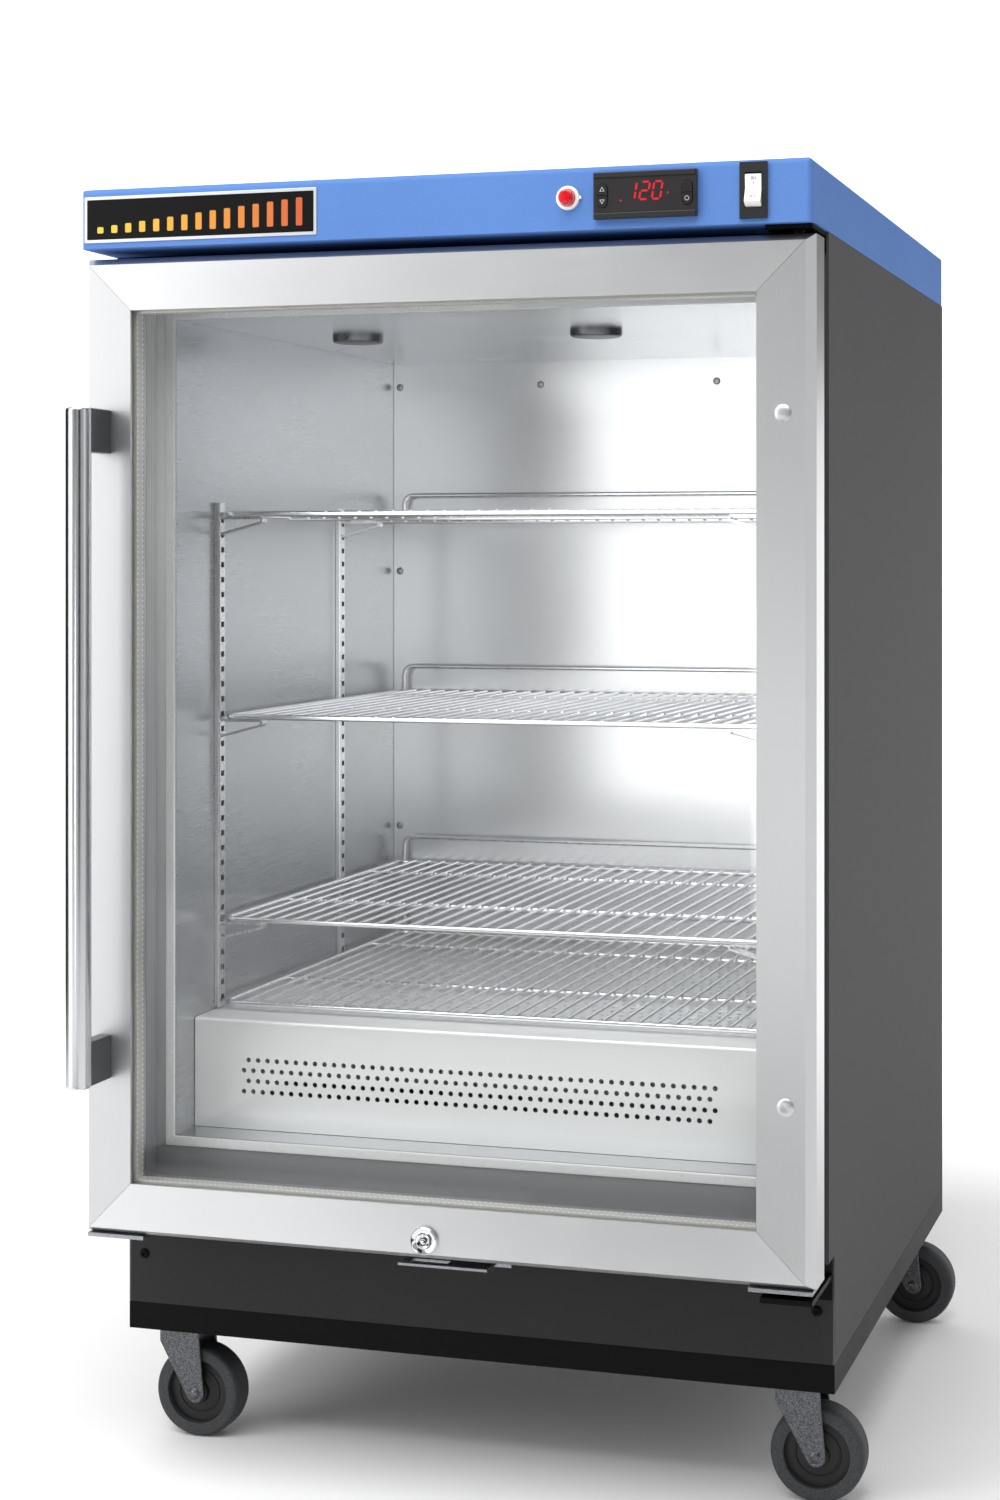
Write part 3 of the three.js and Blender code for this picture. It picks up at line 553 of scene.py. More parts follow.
def dotted_spacer():
    """Pale metal with white dots in two rows, which paint the glints of its tiny holes: a point lies in one
    where its distance from the middle of the pitch, along X and Z, and from the row, along Y, is below the
    radius of the dots."""
    material, shader, place = begin("spacer_metal", metallic=0.5)
    run = (place.axis("X") + place.axis("Z")) / DOT_PITCH
    run = (run.math("FRACT") - 0.5) * DOT_PITCH
    off = place.axis("Y") - float(to_frame((0, SPACER_Y, 0))[1])
    off = off.math("ABSOLUTE") - DOT_ROW
    # The white dots are painted glints of the spacer's tiny holes.
    painted_glint = (run * run + off * off) < DOT_RADIUS ** 2
    cloud = place.noise(300.0, 2.0)
    plain = cloud.mixed(linear(196, 196, 194), linear(214, 213, 206))
    feed(shader, roughness=cloud * 0.15 + 0.34, base_color=painted_glint.mixed(plain, linear(255, 255, 252)))
    return material


spacer_metal = dotted_spacer()
print("seals and spacer ready")

# %% [markdown]
# ## Glass, lamp and lit digits
# A pane of window glass mirrors a few per cent head on and more at a slant, and lets the rest through.
# A factor from Layer Weight between a Transparent and a Glossy shader does just that, and light still
# reaches the chamber. A Fresnel node would turn the rear face of each pane into a full mirror at a
# slant, because nothing bends here. The lamp is a glossy red lens, and the digits shine by themselves.

# %% Clear and lit finishes
def pane_glass():
    """Glass without bending: the mirrored share is a small constant plus the fifth power of how far
    the view slants, on both faces alike, and a broad noise makes it uneven, as a wiped pane is."""
    material, shader, place = begin("pane_glass")
    tree = material.node_tree
    tree.nodes.remove(shader)
    through = place.node("ShaderNodeBsdfTransparent", {}, {"Color": (0.985, 0.987, 0.985, 1)})
    mirror = place.node("ShaderNodeBsdfAnisotropic", {}, {"Roughness": 0.02})
    slant = place.node("ShaderNodeLayerWeight", {}, {"Blend": 0.5}, "Facing")
    share = (slant.math("POWER", 5.0) * 0.9 + 0.013) * (place.noise(6.0, 3.0) * 0.2 + 0.9)
    pane = place.node("ShaderNodeMixShader", {}, {0: share, 1: through, 2: mirror})
    tree.links.new(pane.socket, tree.nodes["Material Output"].inputs[0])
    return material


def lit(name, colour, strength, base):
    """A surface that shines, with its light dimmed a little by a fine noise."""
    material, shader, place = begin(name, roughness=0.35, base_color=base, emission_strength=strength)
    cloud = place.noise(400.0, 2.0)
    feed(shader, emission_color=cloud.mixed(shaded(colour, 0.75), colour))
    return material


def lens_plastic():
    """Glossy red plastic that glows faintly, with a cloud in its shade and gloss."""
    material, shader, place = begin("red_lens", coat_weight=0.6, coat_roughness=0.05,
                                    emission_strength=0.1, emission_color=(0.9, 0.01, 0.02, 1))
    cloud = place.noise(220.0, 2.0)
    feed(shader, base_color=cloud.mixed((0.44, 0.002, 0.005, 1), (0.64, 0.006, 0.012, 1)),
         roughness=cloud * 0.1 + 0.14)
    return material


glass = pane_glass()
red_digit = lit("red_digit", (1.0, 0.004, 0.03, 1), 0.95, (0.05, 0.0, 0.0, 1))
orange_dot = lit("orange_dot", (0.6, 0.05, 0.03, 1), 0.35, (0.15, 0.02, 0.01, 1))
red_lens = lens_plastic()
print(len(bpy.data.materials), "finishes in all")

# %% [markdown]
# ## Dressing the solids that stay
# The record names a slot for every solid, and most solids need no finer shape: sheet, rails, panes and
# brackets are already right. A table from slot to finish dresses them all. The grain of brushed metal
# follows the piece, so rails and stiles, walls and ceiling get their own. Their shades differ too, and that
# is painted shade and light: the side walls and the stiles are darker, the back wall paler.

# %% Finish of every solid
BY_SLOT = {
    "grey_paint": grey_paint, "blue_paint": blue_paint, "black_paint": black_paint,
    "kick_steel": kick_paint, "black_plastic": black_plastic, "insulation_fibre": fibre,
    "liner_steel": liner_wall, "shelf_wire": wire_plate, "heater_sheath": heater_sheath,
    "zinc_steel": zinc, "door_frame": frame_upright, "door_glass": glass,
    "spacer_metal": spacer_metal, "gasket_rubber": gasket_rubber, "handle_chrome": bar_chrome,
    "handle_post": post_metal, "lock_chrome": lock_chrome, "controller_black": controller_face,
    "key_grey": key_plastic, "rocker_white": white_plastic, "lamp_red": red_lens,
    "wheel_rubber": tyre_rubber,
}
BY_NODE = {
    "door_rail_top": frame_level, "door_rail_bottom": frame_level,
    "liner_top": liner_flat, "liner_floor": liner_flat, "liner_back": liner_rear,
    "front_frame": front_plastic,
}
for sub in frame["record"]["subparts"]:
    chosen = BY_NODE.get(sub["node"], BY_SLOT[sub["material_slot"]])
    for holder in nodes[sub["node"]].material_slots:
        holder.material = chosen

# %% [markdown]
# ## Wire shelves
# A shelf is a thick rod bent into a rectangle with round corners, thin wires welded over it from front
# to rear, two cross rods under them, and a rod bent up along the rear so that nothing slides off. Each
# rod is a circle carried along a path in one plane, and the wires are one rod repeated.

# %% Shelf paths
SHELF_TOPS = {"shelf_bottom": 366, "shelf_lower": 437, "shelf_middle": 609, "shelf_upper": 781}
SHELF_HALF, SHELF_FRONT, SHELF_REAR = 240.0, 70.0, 476.0
RIM_ROD, WIRE_ROD, CROSS_ROD, UPSTAND_ROD = 2.3, 1.6, 1.9, 2.2  # radii
CROSS_Y = (205, 404)


def rail_path():
    """The rim's centre line: a rectangle with corners of 12 mm, drawn in by about the rod's radius."""
    wide, deep = 2 * SHELF_HALF - 4.8, SHELF_REAR - SHELF_FRONT - 4.8
    flat = rounded(wide, deep, 12.0, 6)
    middle = (SHELF_FRONT + SHELF_REAR) / 2
    return np.column_stack([flat[:, 0], flat[:, 1] + middle, np.full(len(flat), -2.9)])


def upstand_path():
    """The rear rod's centre line: up at one end, a bend of 9 mm, along, a bend, and down again."""
    bend = np.linspace(0, math.pi / 2, 6)
    across, top, radius = SHELF_HALF - 8, 23.0, 9.0
    rise = np.column_stack([-across + radius - radius * np.cos(bend), top - radius + radius * np.sin(bend)])
    left = np.concatenate([[(-across, -2.0)], rise])
    line = np.concatenate([left, left[::-1] * (-1, 1)])
    return np.column_stack([line[:, 0], np.full(len(line), SHELF_REAR - 2.4), line[:, 1]])


def shelf_shape(wires=30):
    """One shelf, with the tops of its wires at about height 0."""
    rim = rod(rail_path(), RIM_ROD, (0, 0, 1), 12, loop=True)
    wire = rod([(0, SHELF_FRONT + 2.2, -1.5), (0, SHELF_REAR - 2.2, -1.5)], WIRE_ROD, (0, 0, 1), 8)
    span = SHELF_HALF - 5
    across = np.linspace(-span, span, wires + 2)[1:-1]
    row = repeated(wire, np.column_stack([across, 0 * across, 0 * across]))
    cross = rod([(-SHELF_HALF + 3, 0, -4.7), (SHELF_HALF - 3, 0, -4.7)], CROSS_ROD, (0, 0, 1), 8)
    pair = repeated(cross, [(0, y, 0) for y in CROSS_Y])
    return joined(rim, row, pair, rod(upstand_path(), UPSTAND_ROD, (0, 1, 0), 10))


# %% Four shelves
shelf_form = shelf_shape()
for node, height in SHELF_TOPS.items():
    made = piece(f"wire_{node}", moved(shelf_form, (0, 0, height)), wire_plate, "cabinet",
                 [node])
print("each shelf has", len(made.data.polygons), "faces")

# %% [markdown]
# ## Shelf standards and clips
# A standard is a strip of steel folded into a shallow channel and punched with slots 12.7 mm apart. Its
# section is carried up the wall on a grid whose slot cells are left out, and Solidify gives the sheet its
# thickness. A dull dark strip behind the slots paints the shade inside the channel. Each clip is a strip
# folded into a V, drawn as a path with a thickness.

# %% Slotted channel
WALL = 246.7
SLOT_PITCH, SLOT_TALL = 12.7, 4.6
SLOT_STRIP = 4  # the strip of the section, counted from 0, that holds the slots
SECTION = np.array([(0, -6), (3.6, -6), (4.4, -5.6), (4.6, -4.8), (4.6, -2.6), (4.6, 3.4),
                    (4.6, 4.8), (4.4, 5.6), (3.6, 6), (0, 6)], float)


def channel_shape(side, y, low=358.5, high=788.0):
    """The section at every level: levels mark where slots start and end, and slot cells are left out."""
    start = np.arange(low + 6, high - 8, SLOT_PITCH)
    level = np.concatenate([[low], np.column_stack([start, start + SLOT_TALL]).ravel(), [high]])
    count = len(SECTION)
    x = side * (WALL - SECTION[:, 0])
    points = np.stack([np.broadcast_to(x, (len(level), count)),
                       np.broadcast_to(y + SECTION[:, 1], (len(level), count)),
                       np.broadcast_to(level[:, None], (len(level), count))], -1)
    i, j = np.meshgrid(np.arange(len(level) - 1), np.arange(count - 1), indexing="ij")
    keep = ~((i % 2 == 1) & (j == SLOT_STRIP))
    a = (i * count + j)[keep]
    faces = np.stack([a, a + 1, a + count + 1, a + count], -1)
    return points.reshape(-1, 3), [faces if side < 0 else faces[:, ::-1]]


def clip_shape(side, y, top):
    """A strip folded into a V: its centre line, offset by half its thickness to both sides."""
    under = top - 5.3
    nose = np.linspace(math.pi / 2, -math.pi * 0.4, 7)
    line = np.concatenate([[(3.0, under - 1.0)],
                           np.column_stack([41 + 1.9 * np.cos(nose), under - 2.9 + 1.9 * np.sin(nose)]),
                           [(3.0, under - 15.0)]])
    ahead = np.gradient(line, axis=0)
    ahead /= np.linalg.norm(ahead, axis=1, keepdims=True)
    out = np.column_stack([-ahead[:, 1], ahead[:, 0]]) * 0.95
    outline = np.concatenate([line + out, (line - out)[::-1]])[::-1]
    flat = np.column_stack([side * (WALL - outline[:, 0]), outline[:, 1]])
    return lofted(flat if side < 0 else flat[::-1], [(0, -5), (0, 5)], (0, y, 0), FRONT)


# %% Four standards
STANDARD_Y = {"front": 78.0, "rear": 339.0}
for end, y in STANDARD_Y.items():
    for hand, side in (("left", -1), ("right", 1)):
        node = f"pilaster_{end}_{hand}"
        made = thickened(piece(f"standard_{end}_{hand}", channel_shape(side, y), standard_steel, "cabinet",
                               [node], closed=False))
        clips = joined(*[clip_shape(side, y, SHELF_TOPS[s]) for s in list(SHELF_TOPS)[1:]])
        piece(f"clips_{end}_{hand}", clips, standard_steel, "cabinet")
        # A dark strip behind the slots paints the shade inside the closed channel.
        behind = np.array([(-0.5, 362), (0.5, 362), (0.5, 785), (-0.5, 785)])
        painted_shade_strip = lofted(behind, [(0, -4.4), (0, 4.4)], (side * (WALL - 1.6), y, 0), FRONT)
        piece(f"backing_{end}_{hand}", painted_shade_strip, heater_sheath, "cabinet")
print("standards with", len(made.data.polygons), "faces each")

# %% [markdown]
# ## Punched heater cover
# The box under the bottom shelf is one sheet, punched with four staggered rows of small holes, folded
# along its top front edge and laid back as a deck with more holes. It is worked out flat first: each
# cell joins 16 points on its edge to 16 on its hole. Then one function folds the flat sheet.

# %% Cells with a hole
HOLE_PITCH = 8.5


def square_edge(wide, tall):
    """Sixteen points round a rectangle, four to a side, counter-clockwise from the lower left."""
    t = np.arange(4) / 4 - 0.5
    half = np.full(4, 0.5)
    unit = np.concatenate([np.stack([t, -half], 1), np.stack([half, t], 1),
                           np.stack([-t, half], 1), np.stack([-half, -t], 1)])
    return unit * (wide, tall)


def lattice(x, s):
    """A plain flat sheet through the given columns and lines."""
    grid = np.stack(np.meshgrid(x, s, indexing="xy") + [np.zeros((len(s), len(x)))], -1)
    i, j = np.meshgrid(np.arange(len(s) - 1), np.arange(len(x) - 1), indexing="ij")
    a = (i * len(x) + j).ravel()
    return grid.reshape(-1, 3), [np.stack([a, a + 1, a + len(x) + 1, a + len(x)], -1)]


def punched_field(columns, rows, tall, diameter, corner):
    """Rows of cells from a lower left corner. Odd rows stand half a pitch to the right, and a blank
    half cell fills the end of each row. Points at quarter pitches let all the cells meet."""
    edge = square_edge(HOLE_PITCH, tall)
    angle = np.arctan2(edge[:, 1], edge[:, 0])
    hole = diameter / 2 * np.stack([np.cos(angle), np.sin(angle)], 1)
    cell = np.column_stack([np.concatenate([edge, hole]), np.zeros(32)])
    i = np.arange(16)
    after = (i + 1) % 16
    quads = np.stack([i, after, after + 16, i + 16], -1)
    c, r = np.meshgrid(np.arange(columns), np.arange(rows), indexing="ij")
    shift = np.stack([corner[0] + HOLE_PITCH * (c + 0.5 + 0.5 * (r % 2)),
                      corner[1] + tall * (r + 0.5), 0 * r], -1).reshape(-1, 3)
    blank_at = np.where(np.arange(rows) % 2, 0.0, columns * HOLE_PITCH)
    half = lattice(np.arange(3) * HOLE_PITCH / 4, np.arange(5) * tall / 4)
    ends = np.column_stack([corner[0] + blank_at, corner[1] + tall * np.arange(rows), 0 * blank_at])
    return joined(repeated((cell, [quads]), shift), repeated(half, ends))


# %% The flat sheet and its fold
COVER_FRONT, COVER_FOOT, COVER_TOP, COVER_REACH = 35.0, 266.3, 357.0, 246.4
COVER_BACK = 481.7
FOLD = 3.0
COLUMNS = 48
field_left = -(COLUMNS + 0.5) * HOLE_PITCH / 2
field_x = field_left + np.arange(4 * COLUMNS + 3) * HOLE_PITCH / 4
all_x = np.concatenate([[-COVER_REACH], field_x, [COVER_REACH]])
RISE = COVER_TOP - COVER_FOOT - FOLD
BEND = FOLD * math.pi / 2


def folded(flat):
    """Flat (x, s) to the folded sheet: up the front, round a quarter circle, then back along the deck."""
    x, s = flat[:, 0], flat[:, 1]
    turn = np.clip((s - RISE) / FOLD, 0, math.pi / 2)
    back = np.maximum(s - RISE - BEND, 0)
    y = COVER_FRONT + FOLD * (1 - np.cos(turn)) + back
    z = COVER_FOOT + np.minimum(s, RISE) + FOLD * np.sin(turn)
    return np.column_stack([x, y, z])


def banded(low, rows, tall, diameter):
    """A field of holes with the blank sheet at its left and right."""
    s = low + np.arange(4 * rows + 1) * tall / 4
    return joined(punched_field(COLUMNS, rows, tall, diameter, (field_left, low)),
                  lattice(np.array([-COVER_REACH, field_x[0]]), s),
                  lattice(np.array([field_x[-1], COVER_REACH]), s))


front_low, front_rows, front_tall = 27.0, 4, 8.7
deck_low, deck_rows, deck_tall = RISE + BEND + 55, 20, 17.0
sheet_end = RISE + BEND + COVER_BACK - COVER_FRONT - FOLD
front_high = front_low + front_rows * front_tall
deck_high = deck_low + deck_rows * deck_tall
bend_lines = RISE + np.linspace(0, BEND, 9)
flat_cover = joined(
    lattice(all_x, np.array([0, front_low])),
    banded(front_low, front_rows, front_tall, 4.2),
    lattice(all_x, np.concatenate([[front_high], bend_lines, [deck_low]])),
    banded(deck_low, deck_rows, deck_tall, 4.6),
    lattice(all_x, np.array([deck_high, sheet_end])),
)
heater_sheet = thickened(piece("punched_heater_cover", (folded(flat_cover[0]), flat_cover[1]), deck_sheet,
                               "cabinet", ["heater_cover"], closed=False))
print("heater cover has", len(heater_sheet.data.polygons), "faces before its thickness")

# %% [markdown]
# ## Lip of the chamber
# The liner's front edge is folded outwards over the front frame, which leaves a narrow bright lip round
# the chamber's mouth. It is one small section carried round a rectangle: each point of the section is
# a rectangle of its own, moved outwards and forwards, so the four corners come out mitred.

# %% Folded lip
LIP = np.array([(0, 0.2), (0, -0.9), (0.5, -1.5), (1.4, -1.7), (6.8, -1.7), (7.6, -1.4), (8.0, -0.8),
                (8.0, 0.2)])
MOUTH_HALF, MOUTH_LOW, MOUTH_HIGH = 247.0, 266.0, 937.0
corner_x = np.array([1, 1, -1, -1]) * (MOUTH_HALF + LIP[:, :1])
corner_z = np.where([False, True, True, False], MOUTH_HIGH + LIP[:, :1], MOUTH_LOW - LIP[:, :1])
lip_points = np.stack([corner_x, np.broadcast_to(LIP[:, 1:], corner_x.shape), corner_z], -1).reshape(-1, 3)
piece("mouth_lip", (lip_points, [ring_faces(len(LIP), 4, loop=True)]), lip_steel, "cabinet")
print("lip of", len(lip_points), "points")

# %% [markdown]
# ## Screws, plugs and covers
# Pan-head screws hold the kick plate, the rear panel and the chamber's back wall. A pan head is a small
# turned dome with a socket, repeated where the real ones sit. Two plugs fill spare holes in the right
# stile, and two shallow round covers hang from the chamber's ceiling.

# %% Fasteners
def pan_head(radius, height):
    """Half section of a pan head with a round socket, from its seat outwards."""
    return np.array([(0, 0), (radius, 0), (radius, 0.3 * height), (0.93 * radius, 0.65 * height),
                     (0.72 * radius, 0.92 * height), (0.44 * radius, height), (0.4 * radius, height),
                     (0.36 * radius, 0.45 * height), (0, 0.4 * height)])


def flipped(profile):
    """The same half section pointing the other way along its axis."""
    return profile * (1, -1)


BACK_WALL = 482
back_wall = [(x, BACK_WALL, 914) for x in (-240, -90, 91, 240)]
back_wall += [(x, BACK_WALL, z) for x in (-240, 240) for z in (728, 470)]
kick_spots = [(x, 22, 160) for x in (-286, 286)]
rear_spots = [(x, DEPTH, z) for x in (-275, 275) for z in (140, 345, 555, 765, 972)]
rear_spots += [(x, DEPTH, z) for x in (-95, 95) for z in (132, 978)]
plug_spots = [(277, -58, 848), (279, -58, 334)]
lid_spots = [(-160, 180, 937), (60, 180, 937)]
plug_dome = np.array([(0, 0), (6.6, 0), (6.6, -0.3), (5.9, -0.85), (4.2, -1.35), (2.0, -1.6), (0, -1.65)])
lid = np.array([(0, 0), (22.5, 0), (22.5, -4.0), (21.6, -5.6), (19.5, -6.3), (12, -6.5), (0, -6.5)])
for name, section, axis, sides, spots, finish, body, slot in (
        ("chamber_screws", flipped(pan_head(3.6, 2.0)), "y", 16, back_wall, zinc, "cabinet", "zinc_steel"),
        ("kick_screws", flipped(pan_head(4.2, 2.2)), "y", 20, kick_spots, black_paint, "cabinet",
         "black_paint"),
        ("rear_screws", pan_head(4.0, 1.8), "y", 16, rear_spots, zinc, "cabinet", "zinc_steel"),
        ("stile_plugs", plug_dome, "y", 32, plug_spots, frame_upright, "door", "door_frame"),
        ("ceiling_covers", lid, "z", 40, lid_spots, fork_zinc, "cabinet", "zinc_steel")):
    piece(name, repeated(turned(section, ORIGIN, axis, sides), spots), finish, body)
print(len(back_wall) + len(kick_spots) + len(rear_spots), "screws")

# %% Pins of the mains inlet
blade = lofted(rounded(2.0, 4.2, 0.5, 3), eased(12.0, 0.8), (0, 546.2, 0), REAR)
pins = repeated(blade, [(193.5, 0, 156.6), (206.5, 0, 156.6), (200, 0, 160.4)])
piece("inlet_pins", pins, wire_plate, "cabinet")
print("three pins in the inlet")

# %% Bolts of the lower hinge
sixths = np.arange(6) * math.pi / 3
hexagon = 4.6 * np.stack([np.cos(sixths), np.sin(sixths)], 1)
bolt = lofted(hexagon, eased(3.2, 0.7), ORIGIN, FRONT)
hinge_bolts = repeated(bolt, [(268, 18.7, 178), (288, 18.7, 178)])
piece("hinge_bolts", hinge_bolts, black_paint, "cabinet")
print("hinge bolts", len(hinge_bolts[0]), "points")

# %% [markdown]
# ## Handle and lock
# The handle is a polished tube with flat, slightly eased ends. Its solid has 32 flat sides, which a
# mirror finish would show, so a finer turned form stands for it, held off the stile by two dark posts
# with eased corners. The lock is a chrome ring with a dished face, and inside it a tubular keyway: a
# ring-shaped groove round a centre post.

# %% Handle bar
HANDLE = np.array([(0, 324), (8.3, 324), (9.3, 324.5), (9.85, 325.4), (10, 326.6), (10, 856.4),
                   (9.85, 857.6), (9.3, 858.5), (8.3, 859), (0, 859)], float)
HANDLE_X = -280
handle = piece("handle_tube", turned(HANDLE, (HANDLE_X, -100, 0), "z", 72), bar_chrome, "door",
               ["handle_bar"])
for end, z in (("lower", 341), ("upper", 842)):
    post = lofted(rounded(12, 35, 1.4, 4), [(0.4, 58.3), (0, 58.7), (0, 91.6)], (HANDLE_X, 0, z), FRONT)
    piece(f"standoff_{end}", post, post_metal, "door", [f"handle_post_{end}"])
print("handle", len(handle.data.polygons), "faces")

# %% Lock ring, plug and cam
LOCK = (-6.0, 0.0, 214.0)
RING = np.array([(6.3, -32.7), (9, -32.7), (9, -58.3), (11, -58.3), (11, -60.4), (10.7, -61.2),
                 (10.0, -61.7), (9.2, -61.6), (6.6, -60.6), (6.3, -60.2), (6.3, -32.7)], float)
piece("lock_ring", turned(RING, LOCK, "y", 64), lock_chrome, "door", ["lock_body"])
PLUG = np.array([(0, -27.5), (6, -27.5), (6, -61.4), (5.7, -61.9), (5.2, -62.0), (3.9, -61.2), (3.7, -57.5),
                 (2.5, -57.5), (2.5, -61.0), (2.2, -61.5), (1.6, -61.6), (0, -61.6)], float)
cam_outline = rounded(33.0, 10.0, 4.9, 5) + (-11.5, 0)
cam = lofted(cam_outline, [(0.3, 28), (0, 28.3), (0, 30.7), (0.3, 31)], LOCK, FRONT)
notch = lofted(rounded(1.6, 2.6, 0.4, 2) + (0, 4.6), eased(0.9, 0.3), (LOCK[0], -61.3, LOCK[2]), FRONT)
piece("lock_core", joined(turned(PLUG, LOCK, "y", 48), cam, notch), lock_chrome, "lock",
      ["lock_plug"])
print("lock made")

# %% [markdown]
# ## Controls on the fascia
# The controller is a black housing with a ledge along its top and bottom, red digits behind a smoked
# face, and four keys in two pills. Only generic signs are drawn: arrows, a ring and digits. Each digit
# is made of seven leaning bars, and each bar is a flat hexagon raised a tenth of a millimetre.

# %% Ledges and digits
PANEL_Z, CONTROLLER_X, FACE_Y = 1013.5, 172.5, -65.0
LEDGE_RISE = 15.3
strip = lofted(rounded(80, 4.2, 0.8, 3), eased(1.1, 0.7), ORIGIN, FRONT)
ledge_spots = [(CONTROLLER_X, FACE_Y + 0.1, PANEL_Z + rise) for rise in (LEDGE_RISE, -LEDGE_RISE)]
piece("controller_ledges", repeated(strip, ledge_spots), black_plastic, "cabinet")
DIGIT_WIDE, DIGIT_TALL, LEAN = 6.4, 13.0, 0.16
BARS = {"a": (0, 1, 0), "b": (0.5, 0.5, 1), "c": (0.5, -0.5, 1), "d": (0, -1, 0),
        "e": (-0.5, -0.5, 1), "f": (-0.5, 0.5, 1), "g": (0, 0, 0)}
DIGITS = {"0": "abcdef", "1": "bc", "2": "abged"}


def digit_bar(name, x):
    """A hexagon along or up the digit's box, leaning to the right as it rises."""
    across, up, upright = BARS[name]
    half = (DIGIT_TALL / 2 if upright else DIGIT_WIDE) / 2 - 0.5
    thick = 0.75
    flat = np.array([(half, 0), (half - thick, thick), (-half + thick, thick), (-half, 0),
                     (-half + thick, -thick), (half - thick, -thick)])
    flat = flat[:, ::-1] * (-1, 1) if upright else flat
    flat = flat + (across * DIGIT_WIDE, up * DIGIT_TALL / 2)
    flat[:, 0] += x + LEAN * flat[:, 1]
    return lofted(flat, eased(0.12, 0.05), (0, FACE_Y, PANEL_Z + 2.6), FRONT)


shown = [digit_bar(bar, x) for digit, x in zip("120", (162.4, 172.6, 182.4)) for bar in DIGITS[digit]]
piece("red_digits", joined(*shown), red_digit, "cabinet")
spot = np.array([(0, 0), (0.8, 0), (0.8, -0.08), (0.5, -0.14), (0, -0.15)])
dots = repeated(turned(spot, ORIGIN, "y", 16), [(153.9, FACE_Y, 1009.2), (190.6, FACE_Y, 1013.9)])
piece("signal_dots", dots, orange_dot, "cabinet")
print(len(shown), "bars in the digits")

# %% [markdown]
# ## Signs on keys and switch
# Printed signs are thin ribbons: a line, and the same line again at its width. They lie on the key caps
# and on the two slanting faces of the rocker, a twentieth of a millimetre proud, and ride with them. The
# switch carries the plain words that every mains switch has.

# %% Ribbons
sign_ink = moulded("sign_ink", linear(205, 205, 205), 0.5)
brown_ink = moulded("brown_ink", linear(70, 48, 38), 0.5)


def ribbon(line, width, closed=False):
    """A line with a width: each point moves half the width to both sides, along its mitre."""
    line = np.asarray(line, float)
    beyond = line[:1] if closed else 2 * line[-1:] - line[-2:-1]
    edge = np.concatenate([line[1:], beyond]) - line
    edge /= np.linalg.norm(edge, axis=1, keepdims=True)
    before = np.roll(edge, 1, 0)
    before[0] = edge[-1] if closed else edge[0]
    out = np.column_stack([edge[:, 1], -edge[:, 0]])
    out_before = np.column_stack([before[:, 1], -before[:, 0]])
    mitre = (out + out_before) / np.maximum(1 + (out * out_before).sum(1, keepdims=True), 0.4)
    return line + mitre * width / 2, line - mitre * width / 2


def stroke(line, width, origin, axes, closed=False, lift=0.05):
    """A raised ribbon on a face: a grid of four long edges, the two lower ones on the face."""
    right, left = ribbon(line, width, closed)
    flat = np.stack([right, right, left, left], 1)
    height = np.array([0.0, lift, lift, 0.0])
    points = flat[..., :1] * axes[0] + flat[..., 1:] * axes[1] + height[None, :, None] * axes[2]
    count = len(line)
    faces = [ring_faces(count, 4, closed)]
    if not closed:
        faces.append(np.array([[0, 1, 2, 3], 4 * count - np.arange(1, 5)]))
    return np.asarray(origin, float) + points.reshape(-1, 3), faces


def oval(wide, tall, steps=16):
    """Points of an ellipse, counter-clockwise."""
    angle = np.arange(steps) * 2 * math.pi / steps
    return np.stack([wide / 2 * np.cos(angle), tall / 2 * np.sin(angle)], 1)


# %% Key signs
KEY_Y = FACE_Y - 0.8
arrow = np.array([(-1.7, -1.3), (1.7, -1.3), (0, 1.6)])
for name, x, z, line in (("up", -33, 4.6, arrow), ("down", -33, -4.6, arrow[::-1] * (1, -1)),
                         ("set", 33, -4.4, oval(3.2, 3.2))):
    sign = stroke(line, 0.34, (CONTROLLER_X + x, KEY_Y, PANEL_Z + z), FRONT, closed=True)
    piece(f"{name}_sign", sign, sign_ink, f"{name}_key")
print("key signs made")

# %% Rocker signs
TILT = math.radians(10)
PIVOT = np.array([255.5, -57.0, PANEL_Z])
RIDGE, REACH, SPREAD = 5.5, 13.0, math.radians(128)  # the rocker's section, from its pivot
LETTERS = {
    "O": ([oval(1.0, 1.0) * (0.62, 1)], True),
    "N": ([np.array([(-0.3, -0.5), (-0.3, 0.5), (0.3, -0.5), (0.3, 0.5)])], False),
    "F": ([np.array([(-0.28, -0.5), (-0.28, 0.5), (0.28, 0.5)]),
           np.array([(-0.28, 0.02), (0.16, 0.02)])], False),
    "I": ([np.array([(0, -0.5), (0, 0.5)])], False),
}


def rocker_face(sign):
    """Origin and axes of the rocker's upper (+1) or lower (-1) face, turned by its rest tilt."""
    turn = np.array([(math.cos(TILT), math.sin(TILT)), (-math.sin(TILT), math.cos(TILT))])
    ridge = turn @ np.array([-RIDGE, 0.0])
    tip = turn @ np.array([REACH * math.cos(SPREAD), sign * REACH * math.sin(SPREAD)])
    up = sign * (tip - ridge) / np.linalg.norm(tip - ridge)
    axes = np.array([(1, 0, 0), (0, up[0], up[1]), (0, -up[1], up[0])])
    return PIVOT + (0, *((ridge + tip) / 2)), axes


def word(text, size, middle, height, origin, axes):
    """Letters side by side on a face, as thin strokes."""
    shapes = []
    for k, letter in enumerate(text):
        lines, closed = LETTERS[letter]
        shift = np.array([middle + (k - (len(text) - 1) / 2) * size * 0.92, height])
        shapes += [stroke(line * size + shift, size * 0.2, origin, axes, closed) for line in lines]
    return shapes


upper, lower = rocker_face(1), rocker_face(-1)
printed = word("ON", 2.1, 0.2, 2.6, *upper) + word("I", 2.0, 0.2, -1.2, *upper)
printed += word("O", 1.9, 0.2, 2.0, *lower) + word("OFF", 2.0, 0.0, -1.3, *lower)
piece("rocker_signs", joined(*printed), brown_ink, "rocker")
print(len(printed), "strokes on the rocker")

